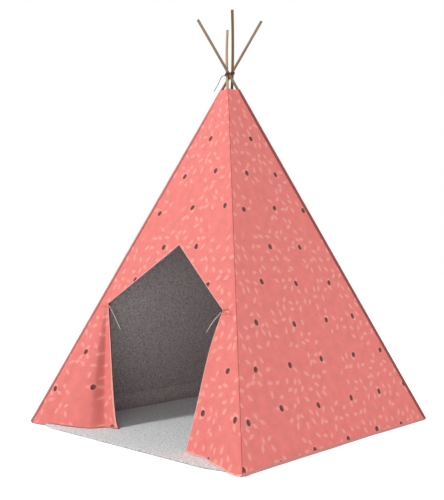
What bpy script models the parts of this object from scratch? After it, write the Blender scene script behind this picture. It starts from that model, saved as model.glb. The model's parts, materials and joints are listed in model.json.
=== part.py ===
"""A children's play tent: four wooden poles crossed and lashed near their tips, a square
cloth cover whose corners are sleeves on the poles, a tied-back door and a floor mat.

Units are metres and +Z is up. The door faces -Y, and the origin is on the floor at the
middle of the base. Poles and faces are numbered anticlockwise seen from above, from the
front left pole and the door, and face n lies between pole n and the next one.
"""

import math

import bmesh
import bpy
from mathutils import Matrix, Vector

# Whole tent
BASE_SIDE = 1.200  # between the middles of neighbouring feet
CROSSING_HEIGHT = 1.500
TIP_RISE = 0.245  # of the poles' tips above the crossing
COVER_TOP_DROP = 0.064  # of the cover's upper hem below it
CLEARANCE = 0.0003  # between pieces that touch
MERGE_DISTANCE = 0.00001  # within which points of a surface are welded

# Poles, each of two sections
POLE_DIAMETER = 0.0120
POLE_END_CHAMFER = 0.0012
POLE_PASSING_GAP = 0.0005  # left between two poles as one folds past the other
LOWER_SECTION_LENGTH = 1.000
FERRULE_LENGTH = 0.100
FERRULE_DIAMETER = 0.0126
FERRULE_WALL = 0.0008
FOOT_HEIGHT = 0.008  # from the middle of the foot's dome up to the sleeve
FOOT_FLOOR = 0.0010  # between the pole's end and the middle of the foot's dome
FOLD_ANGLE = math.radians(26.5)  # a pole swings in by this much until the bundle is tight

# Cloth cover
CLOTH_THICKNESS = 0.0010
SLEEVE_WALL = 0.0010
PANEL_SET_OUT = 0.0045  # from a pole's axis out to the middle of the cloth
PANEL_SAG = 0.0060  # how far a hem draws in at the middle of a side
HEM_HEIGHT = 0.0010  # from the floor up to the hems

# Door
DOOR_PEAK_HEIGHT = 0.760
TIE_HEIGHT = 0.512
LEFT_TIE_INSET = 0.060  # from the pole's axis along the door to the gathered edge
RIGHT_TIE_INSET = 0.056
PANEL_CUT_GAP = 0.0005  # between the door panel and the flap below it
FLAP_HEM_GAP = 0.0006  # from the mat up to the flaps
LEFT_HEM_REACH = 0.404  # from the foot along the door to the flap's free corner
LEFT_HEM_DRIFT = 0.148  # from the door's line in to that corner
RIGHT_HEM_REACH = 0.332
RIGHT_HEM_DRIFT = 0.078
LEFT_EDGE_BOW = -0.0190  # of the free edge, towards the opening
RIGHT_EDGE_BOW = 0.0140
LEFT_BOW_PEAK_SHARE = 0.18  # of the flap's height
RIGHT_BOW_PEAK_SHARE = 0.70
GATHER_DEPTH = 0.0008  # of the small pleats at the tie
GATHER_COUNT = 3
HEM_CLIMB_SHARES = (0.14, 0.26)  # of a flap's width, where its hem climbs onto the mat

# How a flap hangs at its hem, from the pole to the free edge: place, and depth inwards
LEFT_FOLD_PLACE_SHARES = (0, 0.13, 0.27, 0.41, 0.54, 0.66, 0.75, 0.81, 0.86, 0.93, 1)
LEFT_FOLD_DEPTHS = (
    0, -0.0195, -0.0340, -0.0387, -0.0362, -0.0255, -0.0085, 0.0045, 0.0040, -0.0015, 0
)
LEFT_FOLD_FADE_POWER = 2.0  # of the flap's height, by which its folds fade
RIGHT_FOLD_PLACE_SHARES = (0, 0.14, 0.28, 0.42, 0.56, 0.69, 0.83, 1)
RIGHT_FOLD_DEPTHS = (0, -0.0080, -0.0120, -0.0080, 0.0020, 0.0100, -0.0010, 0)
RIGHT_FOLD_FADE_POWER = 0.5

# Floor mat
MAT_THICKNESS = 0.008
MAT_EDGE_ROUND = 0.0025
MAT_CORNER_RADIUS = 0.045

# Lashing round the crossing
LASHING_CORD_DIAMETER = 0.0030
LASHING_TURNS = 3
LASHING_PITCH = 0.0037
LASHING_SLOPE_SHARE = 0.20  # rise of a turn towards +X +Y over its run
LASHING_RISE = 0.0050  # of the middle turn above the crossing
LASHING_END_ANGLE = math.radians(-75)  # where the tail leaves, from +X

# Door ties
TIE_CORD_DIAMETER = 0.0026
TIE_DROP = 0.011  # of the tie below the cut
TIE_EASE = 0.0022  # between the gathered cloth's pleats and the tie
TIE_LEAVING_ANGLE = math.radians(62)  # on the sleeve, from the door's line outwards
KNOT_DIAMETER = 0.0085

# Routes of the free ends, from the middle of their knot: towards the opening, outwards, up
LEFT_TAIL_ROUTE = (
    (0.013, 0.002, -0.010),
    (0.027, 0.004, -0.025),
    (0.042, 0.005, -0.042),
    (0.058, 0.005, -0.066),
    (0.076, 0.004, -0.092),
)
RIGHT_TAIL_ROUTE = (
    (0.010, 0.004, -0.011),
    (0.019, 0.008, -0.021),
    (0.034, 0.010, -0.037),
    (0.051, 0.010, -0.056),
    (0.068, 0.008, -0.075),
)
RIGHT_SHORT_END_ROUTE = (
    (-0.006, 0.007, 0.009),
    (-0.018, 0.008, 0.012),
    (-0.033, 0.008, 0.013),
    (-0.050, 0.007, 0.018),
)
# Route of the lashing's tail, from the crossing
LASHING_TAIL_ROUTE = (
    (-0.0100, -0.0260, 0.0000),
    (-0.0220, -0.0300, -0.0060),
    (-0.0330, -0.0340, -0.0280),
    (-0.0440, -0.0400, -0.0500),
    (-0.0530, -0.0450, -0.0680),
)

# Fineness of the round and soft forms
TURN_STEPS = 20
DOME_STEPS = 5
LOOP_POINTS = 24
LEAN_STEPS = 4  # of a pole's fold, that the lashing makes room for
PANEL_COLUMNS = 12
PANEL_ROWS = 10
DOOR_COLUMNS = 24
DOOR_EDGE_COLUMNS = 2
DOOR_ROWS = 12
FLAP_COLUMNS = 32
FLAP_ROWS = 14
MAT_CORNER_STEPS = 8
TAIL_SPACING_SHARE = 2.2  # points along a free end, in cord diameters
TIE_SPACING_SHARE = 1.3
ROUTE_STEPS = 24  # between two stops of a route, to measure it
KNOT_COLUMNS = 12
KNOT_ROWS = 8

# Colours, linear, with roughness and metallic value
FINISHES = {
    "wood": ((0.50, 0.30, 0.14, 1.0), 0.55, 0.0),
    "cloth": ((0.86, 0.22, 0.20, 1.0), 0.90, 0.0),
    "sleeve_cloth": ((0.62, 0.17, 0.16, 1.0), 0.90, 0.0),
    "mat_cloth": ((0.62, 0.62, 0.64, 1.0), 0.95, 0.0),
    "cord": ((0.10, 0.05, 0.035, 1.0), 0.80, 0.0),
    "ribbon": ((0.85, 0.52, 0.48, 1.0), 0.80, 0.0),
    "rubber": ((0.03, 0.025, 0.025, 1.0), 0.70, 0.0),
    "aluminium": ((0.70, 0.70, 0.72, 1.0), 0.35, 1.0),
}

POLE_NAMES = ("front_left", "front_right", "back_right", "back_left")
PANEL_NAMES = ("door_panel", "right_panel", "back_panel", "left_panel")
DOOR_FACE = 0
LEFT_POLE = 0
RIGHT_POLE = 1

pole_radius = POLE_DIAMETER / 2
ferrule_radius = FERRULE_DIAMETER / 2
tenon_radius = ferrule_radius - FERRULE_WALL - CLEARANCE
sleeve_bore = ferrule_radius + CLEARANCE
sleeve_radius = sleeve_bore + SLEEVE_WALL
foot_radius = sleeve_radius
foot_bore = pole_radius + CLEARANCE
corner_reach = BASE_SIDE / math.sqrt(2)
flap_hem_height = MAT_THICKNESS + FLAP_HEM_GAP + CLOTH_THICKNESS / 2
cover_top = CROSSING_HEIGHT - COVER_TOP_DROP
tie_radius = TIE_CORD_DIAMETER / 2
lashing_radius = LASHING_CORD_DIAMETER / 2


def weave_offset():
    """How far each pole passes from the tent's axis, so that one can fold past the next."""
    lean = math.atan2(corner_reach, CROSSING_HEIGHT - foot_radius)
    folded = lean - FOLD_ANGLE
    spread = math.hypot(math.sin(folded), math.sin(lean) * math.cos(folded))
    passing_share = math.sin(lean + folded) / spread
    return (POLE_DIAMETER + POLE_PASSING_GAP) / passing_share


pole_weave = weave_offset()


def clear_scene():
    for old in list(bpy.data.objects):
        bpy.data.objects.remove(old)


def tent_collection():
    parts = bpy.data.collections.new("play_tent")
    bpy.context.scene.collection.children.link(parts)
    return parts


def make_finishes():
    made = {}
    for name, (colour, roughness, metallic) in FINISHES.items():
        material = bpy.data.materials.new(name)
        material.use_nodes = True
        shader = material.node_tree.nodes["Principled BSDF"]
        shader.inputs["Base Color"].default_value = colour
        shader.inputs["Roughness"].default_value = roughness
        shader.inputs["Metallic"].default_value = metallic
        material.diffuse_color = colour
        made[name] = material
    return made


def add_piece(name, data, finish, parts):
    piece = bpy.data.objects.new(name, data)
    piece.data.materials.append(finish)
    parts.objects.link(piece)
    return piece


def hang_on(piece, hinge):
    """Makes a piece that is modelled in world space a child of a hinge, without moving it."""
    piece.data.transform(hinge.matrix_world.inverted())
    piece.parent = hinge


def add_turned(name, profile, finish, parts, closed=False):
    """Turns a profile of (radius, height) points about Z. It runs down the outer side."""
    edges = [(i, i + 1) for i in range(len(profile) - 1)]
    if closed:
        edges.append((len(profile) - 1, 0))
    mesh = bpy.data.meshes.new(name)
    mesh.from_pydata([(radius, 0, height) for radius, height in profile], edges, [])
    piece = add_piece(name, mesh, finish, parts)
    turn = piece.modifiers.new("Turn", "SCREW")
    turn.steps = TURN_STEPS
    turn.render_steps = TURN_STEPS
    turn.use_merge_vertices = True
    turn.merge_threshold = MERGE_DISTANCE
    turn.use_smooth_shade = True
    return piece


def add_cloth(name, columns, rows, place, finish, parts):
    """A cloth sheet: a grid whose points, across and up from -1 to 1, are set by place."""
    sheet = bmesh.new()
    bmesh.ops.create_grid(sheet, x_segments=columns, y_segments=rows, size=1)
    for point in sheet.verts:
        point.co = place(point.co.x, point.co.y)
    mesh = bpy.data.meshes.new(name)
    sheet.to_mesh(mesh)
    sheet.free()
    mesh.shade_smooth()
    piece = add_piece(name, mesh, finish, parts)
    wall = piece.modifiers.new("Cloth", "SOLIDIFY")
    wall.thickness = CLOTH_THICKNESS
    wall.offset = 0
    return piece


def add_cord(name, points, diameter, resolution, finish, parts):
    """A round cord along a line of points."""
    curve = bpy.data.curves.new(name, "CURVE")
    curve.dimensions = "3D"
    curve.bevel_depth = diameter / 2
    curve.bevel_resolution = resolution
    curve.use_fill_caps = True
    spline = curve.splines.new("POLY")
    spline.points.add(len(points) - 1)
    for target, point in zip(spline.points, points):
        target.co = (*point, 1)
    return add_piece(name, curve, finish, parts)


def smooth_route(stops, spacing):
    """Points about this far apart on a smooth curve through the stops."""
    ends = [2 * stops[0] - stops[1], *stops, 2 * stops[-1] - stops[-2]]
    fine = []
    for before, start, end, after in zip(ends, ends[1:], ends[2:], ends[3:]):
        for step in range(ROUTE_STEPS):
            t = step / ROUTE_STEPS
            fine.append(
                start
                + (end - before) * (t / 2)
                + (before * 2 - start * 5 + end * 4 - after) * (t * t / 2)
                + (start * 3 - before - end * 3 + after) * (t * t * t / 2)
            )
    fine.append(stops[-1])
    lengths = [0.0]
    for a, b in zip(fine, fine[1:]):
        lengths.append(lengths[-1] + (b - a).length)
    count = max(2, round(lengths[-1] / spacing))
    points = []
    for step in range(count + 1):
        wanted = lengths[-1] * step / count
        index = min(range(len(fine)), key=lambda i: abs(lengths[i] - wanted))
        points.append(fine[index])
    return points


def pole_foot(pole):
    """Middle of the domed end of a pole's foot."""
    turn = math.radians(-135 + 90 * pole)
    return Vector((corner_reach * math.cos(turn), corner_reach * math.sin(turn), foot_radius))


def pole_crossing(pole):
    """Where a pole passes the tent's axis, beside it."""
    turn = math.radians(135 + 90 * pole)
    return Vector((pole_weave * math.cos(turn), pole_weave * math.sin(turn), CROSSING_HEIGHT))


def pole_direction(pole):
    return (pole_crossing(pole) - pole_foot(pole)).normalized()


def on_pole(pole, height):
    """The point of a pole's axis at this height."""
    direction = pole_direction(pole)
    return pole_foot(pole) + direction * ((height - foot_radius) / direction.z)


def fold_axis(pole):
    """Level axis on which a pole folds, its foot moving inwards."""
    outward = pole_foot(pole) - pole_crossing(pole)
    outward.z = 0
    return Vector((0, 0, 1)).cross(outward.normalized())


def add_fold_hinge(pole, parts):
    """An empty at the crossing, with X along the hinge and Z up the pole."""
    axis = fold_axis(pole)
    up = pole_direction(pole)
    turned = Matrix((axis, up.cross(axis), up)).transposed().to_4x4()
    hinge = bpy.data.objects.new(f"hinge_{POLE_NAMES[pole]}", None)
    hinge.matrix_world = Matrix.Translation(pole_crossing(pole)) @ turned
    parts.objects.link(hinge)
    return hinge


def add_pole(pole, finishes, parts):
    """A pole's two sections, ferrule, foot and sleeve. Heights are along the pole from the crossing."""
    name = POLE_NAMES[pole]
    hinge = add_fold_hinge(pole, parts)
    rise = pole_direction(pole).z
    foot_level = -(CROSSING_HEIGHT - foot_radius) / rise
    tip = TIP_RISE / rise
    bottom = foot_level + FOOT_FLOOR
    joint = bottom + LOWER_SECTION_LENGTH
    shoulder = FERRULE_LENGTH / 2 + CLEARANCE
    tenon_end = CLEARANCE / 2
    foot_top = foot_level + FOOT_HEIGHT
    sleeve_top = -COVER_TOP_DROP / rise
    chamfered = pole_radius - POLE_END_CHAMFER
    pieces = [
        add_turned(
            f"{name}_upper_pole",
            [
                (0, tip),
                (chamfered, tip),
                (pole_radius, tip - POLE_END_CHAMFER),
                (pole_radius, joint + shoulder),
                (tenon_radius, joint + shoulder),
                (tenon_radius, joint + tenon_end),
                (0, joint + tenon_end),
            ],
            finishes["wood"],
            parts,
        ),
        add_turned(
            f"{name}_lower_pole",
            [
                (0, joint - tenon_end),
                (tenon_radius, joint - tenon_end),
                (tenon_radius, joint - shoulder),
                (pole_radius, joint - shoulder),
                (pole_radius, bottom + POLE_END_CHAMFER),
                (chamfered, bottom),
                (0, bottom),
            ],
            finishes["wood"],
            parts,
        ),
        add_turned(
            f"{name}_ferrule",
            [
                (ferrule_radius, joint + FERRULE_LENGTH / 2),
                (ferrule_radius, joint - FERRULE_LENGTH / 2),
                (tenon_radius + CLEARANCE, joint - FERRULE_LENGTH / 2),
                (tenon_radius + CLEARANCE, joint + FERRULE_LENGTH / 2),
            ],
            finishes["aluminium"],
            parts,
            closed=True,
        ),
        add_turned(
            f"{name}_foot", foot_profile(foot_level, foot_top), finishes["rubber"], parts
        ),
        add_turned(
            f"{name}_sleeve",
            [
                (sleeve_radius, sleeve_top),
                (sleeve_radius, foot_top + CLEARANCE),
                (sleeve_bore, foot_top + CLEARANCE),
                (sleeve_bore, sleeve_top),
            ],
            finishes["sleeve_cloth"],
            parts,
            closed=True,
        ),
    ]
    for piece in pieces:
        piece.parent = hinge
    return hinge


def foot_profile(level, top):
    """A cup on the pole's end with a domed underside, whose middle is at this level."""
    floor = level + FOOT_FLOOR - CLEARANCE
    profile = [(0, floor), (foot_bore, floor), (foot_bore, top), (foot_radius, top)]
    for step in range(DOME_STEPS):
        turn = math.pi / 2 * step / DOME_STEPS
        profile.append((foot_radius * math.cos(turn), level - foot_radius * math.sin(turn)))
    profile.append((0, level - foot_radius))
    return profile


def face_frame(face, height):
    """Directions along a face, seen from outside to the right, and out of it, both level."""
    along = on_pole((face + 1) % 4, height) - on_pole(face, height)
    width = along.length
    along.normalize()
    return along, Vector((along.y, -along.x, 0)), width


def side_reach(pole, along, outward):
    """How far along a face from a pole's axis the cloth's edge starts, clear of the sleeve."""
    direction = pole_direction(pole)
    across = along.dot(direction)
    out = outward.dot(direction)
    inner_face = PANEL_SET_OUT - CLOTH_THICKNESS / 2
    radius = sleeve_radius + CLEARANCE
    half = inner_face * out * across
    square = 1 - across**2
    return (half + math.sqrt(half**2 - square * (inner_face**2 * (1 - out**2) - radius**2))) / square


def face_edges(face, height):
    """A face's cloth at this height: its two edges, the direction out and the width."""
    along, outward, width = face_frame(face, height)
    left_reach = side_reach(face, along, outward)
    right_reach = side_reach((face + 1) % 4, -along, outward)
    start = on_pole(face, height) + outward * PANEL_SET_OUT + along * left_reach
    end = start + along * (width - left_reach - right_reach)
    return start, end, outward


def on_face(face, share, height):
    """A point of a face's cloth, by its share of the width from the left and its height."""
    start, end, outward = face_edges(face, height)
    fullness = (end - start).length / BASE_SIDE
    sag = PANEL_SAG * 4 * share * (1 - share) * fullness
    return start.lerp(end, share) - outward * sag


def add_plain_panel(face, finishes, parts):
    def place(across, up):
        height = HEM_HEIGHT + (cover_top - HEM_HEIGHT) * (up + 1) / 2
        return on_face(face, (across + 1) / 2, height)

    add_cloth(PANEL_NAMES[face], PANEL_COLUMNS, PANEL_ROWS, place, finishes["cloth"], parts)


def gathered_share(inset, pole):
    """Where the gathered edge lies at the tie, from the door's middle to its side."""
    start, end, _ = face_edges(DOOR_FACE, TIE_HEIGHT)
    side, other = (start, end) if pole == LEFT_POLE else (end, start)
    axis_reach = (on_pole(pole, TIE_HEIGHT) - side).dot((other - side).normalized())
    return 1 - 2 * (inset + axis_reach) / (end - start).length


def door_cut_height(middle_share, corner_share):
    """Lower edge of the door panel, at this share from the door's middle to its side."""
    level = TIE_HEIGHT + PANEL_CUT_GAP
    if middle_share >= corner_share:
        return level
    low_start, low_end, _ = face_edges(DOOR_FACE, 0)
    start, end, _ = face_edges(DOOR_FACE, level)
    low_half = (low_end - low_start).length / 2
    half = (end - start).length / 2
    narrowing = (low_half - half) / level
    slope = (DOOR_PEAK_HEIGHT - level) / (corner_share * half) * middle_share
    return (DOOR_PEAK_HEIGHT - slope * low_half) / (1 - slope * narrowing)


def add_door_panel(finishes, parts):
    """The upper part of the door side, over the opening that the tied-back flaps leave."""
    corner_shares = (
        gathered_share(LEFT_TIE_INSET, LEFT_POLE),
        gathered_share(RIGHT_TIE_INSET, RIGHT_POLE),
    )
    inner_columns = 1 - 2 * DOOR_EDGE_COLUMNS / DOOR_COLUMNS

    def place(across, up):
        corner_share = corner_shares[across > 0]
        share = abs(across)
        if share <= inner_columns:
            middle_share = corner_share * share / inner_columns
        else:
            past = (share - inner_columns) / (1 - inner_columns)
            middle_share = corner_share + (1 - corner_share) * past
        low = door_cut_height(middle_share, corner_share)
        height = low + (cover_top - low) * (up + 1) / 2
        return on_face(DOOR_FACE, (1 + math.copysign(middle_share, across)) / 2, height)

    add_cloth(PANEL_NAMES[DOOR_FACE], DOOR_COLUMNS, DOOR_ROWS, place, finishes["cloth"], parts)


def door_side(pole, height):
    """Edge of the door's cloth at one pole, with the directions to the opening and out."""
    start, end, outward = face_edges(DOOR_FACE, height)
    inward = (end - start).normalized()
    if pole == LEFT_POLE:
        return start, inward, outward
    return end, -inward, outward


def free_edge(pole, share):
    """A point of a flap's free edge, from the hem at 0 to the tie at 1."""
    left = pole == LEFT_POLE
    reach = LEFT_HEM_REACH if left else RIGHT_HEM_REACH
    drift = LEFT_HEM_DRIFT if left else RIGHT_HEM_DRIFT
    inset = LEFT_TIE_INSET if left else RIGHT_TIE_INSET
    bow = LEFT_EDGE_BOW if left else RIGHT_EDGE_BOW
    peak = LEFT_BOW_PEAK_SHARE if left else RIGHT_BOW_PEAK_SHARE
    _, inward, outward = door_side(pole, flap_hem_height)
    set_out = outward * PANEL_SET_OUT
    hem = on_pole(pole, flap_hem_height) + set_out + inward * reach - outward * drift
    _, tie_inward, tie_outward = door_side(pole, TIE_HEIGHT)
    tie = on_pole(pole, TIE_HEIGHT) + tie_outward * PANEL_SET_OUT + tie_inward * inset
    power = math.log(0.5) / math.log(peak)
    return hem.lerp(tie, share) + inward * (bow * math.sin(math.pi * share**power))


def fold_depth(share, places, depths):
    """How far in the cloth hangs, at this share from the pole: a smooth curve of its folds."""
    last = len(places) - 1
    index = max(i for i in range(last) if share >= places[i])
    span = places[index + 1] - places[index]
    part = (share - places[index]) / span
    ends = []
    for stop in (index, index + 1):
        before, after = max(stop - 1, 0), min(stop + 1, last)
        slope = (depths[after] - depths[before]) / (places[after] - places[before])
        ends.append((depths[stop], slope * span))
    (low, low_slope), (high, high_slope) = ends
    rise = part * part * (3 - 2 * part)
    return (
        low * (1 - rise)
        + high * rise
        + low_slope * part * (1 - part) ** 2
        - high_slope * part * part * (1 - part)
    )


def hem_level(share):
    """Height of a flap's hem, which hangs beside the mat at its pole and then lies over it."""
    start, end = HEM_CLIMB_SHARES
    part = min(max((share - start) / (end - start), 0), 1)
    return HEM_HEIGHT + (flap_hem_height - HEM_HEIGHT) * part * part * (3 - 2 * part)


def add_flap(pole, hinge, finishes, parts):
    """Half of the door below the tie, drawn to its pole and hanging in folds."""
    left = pole == LEFT_POLE
    places = LEFT_FOLD_PLACE_SHARES if left else RIGHT_FOLD_PLACE_SHARES
    depths = LEFT_FOLD_DEPTHS if left else RIGHT_FOLD_DEPTHS
    fade_power = LEFT_FOLD_FADE_POWER if left else RIGHT_FOLD_FADE_POWER

    def place(across, up):
        share = (1 + across) / 2 if left else (1 - across) / 2
        rise = (1 + up) / 2
        low = hem_level(share)
        height = low + (TIE_HEIGHT - low) * rise
        side, _, _ = door_side(pole, height)
        edge = free_edge(pole, rise)
        chord = Vector((edge.x - side.x, edge.y - side.y, 0))
        out = Vector((chord.y, -chord.x, 0)).normalized()
        if not left:
            out = -out
        fold = fold_depth(share, places, depths) * (1 - rise**fade_power)
        pleat = GATHER_DEPTH * rise**2 * math.sin(2 * math.pi * GATHER_COUNT * share)
        return side + chord * share - out * (fold + pleat)

    name = "left" if left else "right"
    flap = add_cloth(f"door_flap_{name}", FLAP_COLUMNS, FLAP_ROWS, place, finishes["cloth"], parts)
    hang_on(flap, hinge)


def gathered_neck(pole):
    """The gathered cloth at the tie: its side at the sleeve, its length, and along and out."""
    height = TIE_HEIGHT - TIE_DROP
    rise = (height - flap_hem_height) / (TIE_HEIGHT - flap_hem_height)
    side, _, outward = door_side(pole, height)
    chord = free_edge(pole, rise) - side
    along = chord.normalized()
    out = Vector((along.y, -along.x, 0))
    return side, chord.length, along, out if out.dot(outward) > 0 else -out


def tie_room():
    """From the middle of the gathered cloth to the middle of the tie."""
    return CLOTH_THICKNESS / 2 + GATHER_DEPTH + TIE_EASE + tie_radius


def tie_stops(pole):
    """Route of a tie: from the sleeve over the gathered cloth, round its edge and back."""
    side, length, along, out = gathered_neck(pole)
    from_axis = side - on_pole(pole, TIE_HEIGHT - TIE_DROP)
    middle = Vector((-from_axis.dot(along), -from_axis.dot(out)))
    edge = length + TIE_EASE
    room = tie_room()
    touching = sleeve_radius / pole_direction(pole).z + CLEARANCE
    leaving = Vector((math.cos(TIE_LEAVING_ANGLE), math.sin(TIE_LEAVING_ANGLE)))
    last = Vector((middle.x + math.sqrt(touching**2 - (room + middle.y) ** 2), -room))
    flat = [
        middle + leaving * touching,
        middle + leaving * (touching + TIE_CORD_DIAMETER),
        Vector((edge / 3, room)),
        Vector((edge * 2 / 3, room)),
        Vector((edge, room)),
        Vector((edge + room, 0)),
        Vector((edge, -room)),
        Vector((edge * 2 / 3, -room)),
        Vector((edge / 3, -room)),
        last + Vector((TIE_CORD_DIAMETER, 0)),
        last,
    ]
    return [side + along * point.x + out * point.y for point in flat]


def knot_middle(pole):
    side, length, along, _ = gathered_neck(pole)
    return side + along * (length + TIE_EASE + tie_room())


def mesh_of_curve(piece, parts, finish):
    """Swaps a curve for the welded mesh that it draws, so that it can be joined."""
    graph = bpy.context.evaluated_depsgraph_get()
    mesh = bpy.data.meshes.new_from_object(piece.evaluated_get(graph))
    name = piece.name
    bpy.data.objects.remove(piece)
    shape = bmesh.new()
    shape.from_mesh(mesh)
    bmesh.ops.remove_doubles(shape, verts=shape.verts, dist=MERGE_DISTANCE)
    shape.to_mesh(mesh)
    shape.free()
    mesh.materials.clear()
    return add_piece(name, mesh, finish, parts)


def add_tie(pole, hinge, finishes, parts, helpers):
    """A tie with its knot on the gathered cloth's free edge."""
    name = "left" if pole == LEFT_POLE else "right"
    points = smooth_route(tie_stops(pole), TIE_CORD_DIAMETER * TIE_SPACING_SHARE)
    loop = add_cord(f"tie_{name}", points, TIE_CORD_DIAMETER, 2, finishes["ribbon"], parts)
    loop = mesh_of_curve(loop, parts, finishes["ribbon"])
    ball = bmesh.new()
    bmesh.ops.create_uvsphere(
        ball, u_segments=KNOT_COLUMNS, v_segments=KNOT_ROWS, radius=KNOT_DIAMETER / 2
    )
    mesh = bpy.data.meshes.new(f"knot_{name}")
    ball.to_mesh(mesh)
    ball.free()
    knot = add_piece(f"knot_{name}", mesh, finishes["ribbon"], helpers)
    knot.location = knot_middle(pole)
    knot.hide_render = True
    knot.display_type = "WIRE"
    join = loop.modifiers.new("Knot", "BOOLEAN")
    join.operation = "UNION"
    join.object = knot
    hang_on(loop, hinge)


def add_free_end(name, route, pole, hinge, finishes, parts):
    """A loose end of a tie, starting at the surface of its knot."""
    middle = knot_middle(pole)
    _, _, inward, outward = gathered_neck(pole)
    up = Vector((0, 0, 1))
    stops = [middle + inward * a + outward * b + up * c for a, b, c in route]
    leaving = (stops[0] - middle).normalized()
    start = middle + leaving * (KNOT_DIAMETER / 2 + CLEARANCE)
    straight = start + leaving * TIE_CORD_DIAMETER
    points = smooth_route([straight, *stops], TIE_CORD_DIAMETER * TAIL_SPACING_SHARE)
    end = add_cord(name, [start, *points], TIE_CORD_DIAMETER, 2, finishes["ribbon"], parts)
    hang_on(end, hinge)


def lashed_radius(turn, height):
    """Distance from the tent's axis to the middle of a cord round the poles, open or folded."""
    open_lean = math.acos(pole_direction(0).z)
    return max(
        bundle_radius(turn, height, open_lean - FOLD_ANGLE * step / LEAN_STEPS)
        for step in range(LEAN_STEPS + 1)
    )


def bundle_radius(turn, height, lean):
    """The same for poles that all lean by this angle: a rounded square through the four."""
    along = (CROSSING_HEIGHT - height) * math.tan(lean)
    crossing = pole_crossing(0)
    outward = pole_foot(0) - crossing
    corner = crossing.xy + outward.xy.normalized() * along
    reach = corner.length
    side = math.radians(45)
    round_by = pole_radius / math.cos(lean) + CLEARANCE + lashing_radius
    past = (turn - math.atan2(corner.y, corner.x) + side) % (2 * side) - side
    bend = math.atan2(round_by * math.sin(side), reach + round_by * math.cos(side))
    if abs(past) <= bend:
        return reach * math.cos(past) + math.sqrt(round_by**2 - (reach * math.sin(past)) ** 2)
    return (reach * math.cos(side) + round_by) / math.cos(side - abs(past))


def lashing_points():
    """Turns of the lashing, clockwise from the top, with a straight diameter at each end."""
    count = LOOP_POINTS * LASHING_TURNS
    top = CROSSING_HEIGHT + LASHING_RISE + LASHING_PITCH * LASHING_TURNS / 2
    points = []
    for step in range(count + 1):
        turn = LASHING_END_ANGLE + 2 * math.pi * (count - step) / LOOP_POINTS
        level = top - LASHING_PITCH * step / LOOP_POINTS
        reach = lashed_radius(turn, level)
        level += LASHING_SLOPE_SHARE * reach * math.cos(turn - math.radians(45))
        reach = lashed_radius(turn, level)
        points.append(Vector((reach * math.cos(turn), reach * math.sin(turn), level)))
    first = points[0] + (points[0] - points[1]).normalized() * LASHING_CORD_DIAMETER
    last = points[-1] + (points[-1] - points[-2]).normalized() * LASHING_CORD_DIAMETER
    return [first, *points, last]


def report_least_gap(points):
    """Prints the least gap between turns, from points at least a third of a turn apart."""
    apart = LOOP_POINTS // 3
    least = min(
        (a - b).length for i, a in enumerate(points) for b in points[i + apart :]
    )
    print(f"least gap between turns of the lashing: {1000 * (least - LASHING_CORD_DIAMETER):.2f} mm")


def add_lashing(finishes, parts):
    points = lashing_points()
    report_least_gap(points)
    add_cord("lashing", points, LASHING_CORD_DIAMETER, 1, finishes["cord"], parts)
    leaving = (points[-1] - points[-2]).normalized()
    start = points[-1] + leaving * CLEARANCE
    straight = start + leaving * LASHING_CORD_DIAMETER
    crossing = Vector((0, 0, CROSSING_HEIGHT))
    stops = [straight, *(crossing + Vector(stop) for stop in LASHING_TAIL_ROUTE)]
    route = smooth_route(stops, LASHING_CORD_DIAMETER * TAIL_SPACING_SHARE)
    add_cord("lashing_tail", [start, *route], LASHING_CORD_DIAMETER, 2, finishes["cord"], parts)


def mat_half_side():
    """Half the mat's side, up to the cloth where the mat's edge is highest."""
    top = MAT_THICKNESS - MAT_EDGE_ROUND
    middle = on_face(1, 0.5, top).x
    slope = (on_face(1, 0.5, 0).x - on_face(1, 0.5, cover_top).x) / cover_top
    half_cloth = CLOTH_THICKNESS / 2 * math.hypot(1, slope)
    return middle - half_cloth - slope * MAT_EDGE_ROUND - CLEARANCE


def add_mat(finishes, parts):
    """A square mat with rounded corners, which leave room for the feet."""
    curve = bpy.data.curves.new("floor_mat", "CURVE")
    curve.dimensions = "2D"
    curve.fill_mode = "BOTH"
    curve.extrude = MAT_THICKNESS / 2 - MAT_EDGE_ROUND
    curve.bevel_depth = MAT_EDGE_ROUND
    curve.bevel_resolution = 1
    centre = mat_half_side() - MAT_CORNER_RADIUS
    radius = MAT_CORNER_RADIUS - MAT_EDGE_ROUND
    outline = []
    for corner in range(4):
        turn = math.radians(45 + 90 * corner)
        middle = Vector((math.cos(turn), math.sin(turn))) * (centre * math.sqrt(2))
        for step in range(MAT_CORNER_STEPS + 1):
            at = turn + math.radians(90) * (step / MAT_CORNER_STEPS - 0.5)
            outline.append(middle + Vector((math.cos(at), math.sin(at))) * radius)
    spline = curve.splines.new("POLY")
    spline.points.add(len(outline) - 1)
    for target, point in zip(spline.points, outline):
        target.co = (point.x, point.y, 0, 1)
    spline.use_cyclic_u = True
    mat = add_piece("floor_mat", curve, finishes["mat_cloth"], parts)
    mat.location = (0, 0, MAT_THICKNESS / 2)


def main():
    clear_scene()
    parts = tent_collection()
    helpers = bpy.data.collections.new("joining_shapes")
    bpy.context.scene.collection.children.link(helpers)
    finishes = make_finishes()
    hinges = [add_pole(pole, finishes, parts) for pole in range(4)]
    bpy.context.view_layer.update()
    add_door_panel(finishes, parts)
    for face in (1, 2, 3):
        add_plain_panel(face, finishes, parts)
    for pole in (LEFT_POLE, RIGHT_POLE):
        add_flap(pole, hinges[pole], finishes, parts)
        add_tie(pole, hinges[pole], finishes, parts, helpers)
    left, right = hinges[LEFT_POLE], hinges[RIGHT_POLE]
    add_free_end("tie_left_tail", LEFT_TAIL_ROUTE, LEFT_POLE, left, finishes, parts)
    add_free_end("tie_right_tail", RIGHT_TAIL_ROUTE, RIGHT_POLE, right, finishes, parts)
    add_free_end("tie_right_short_end", RIGHT_SHORT_END_ROUTE, RIGHT_POLE, right, finishes, parts)
    add_lashing(finishes, parts)
    add_mat(finishes, parts)


main()
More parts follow.
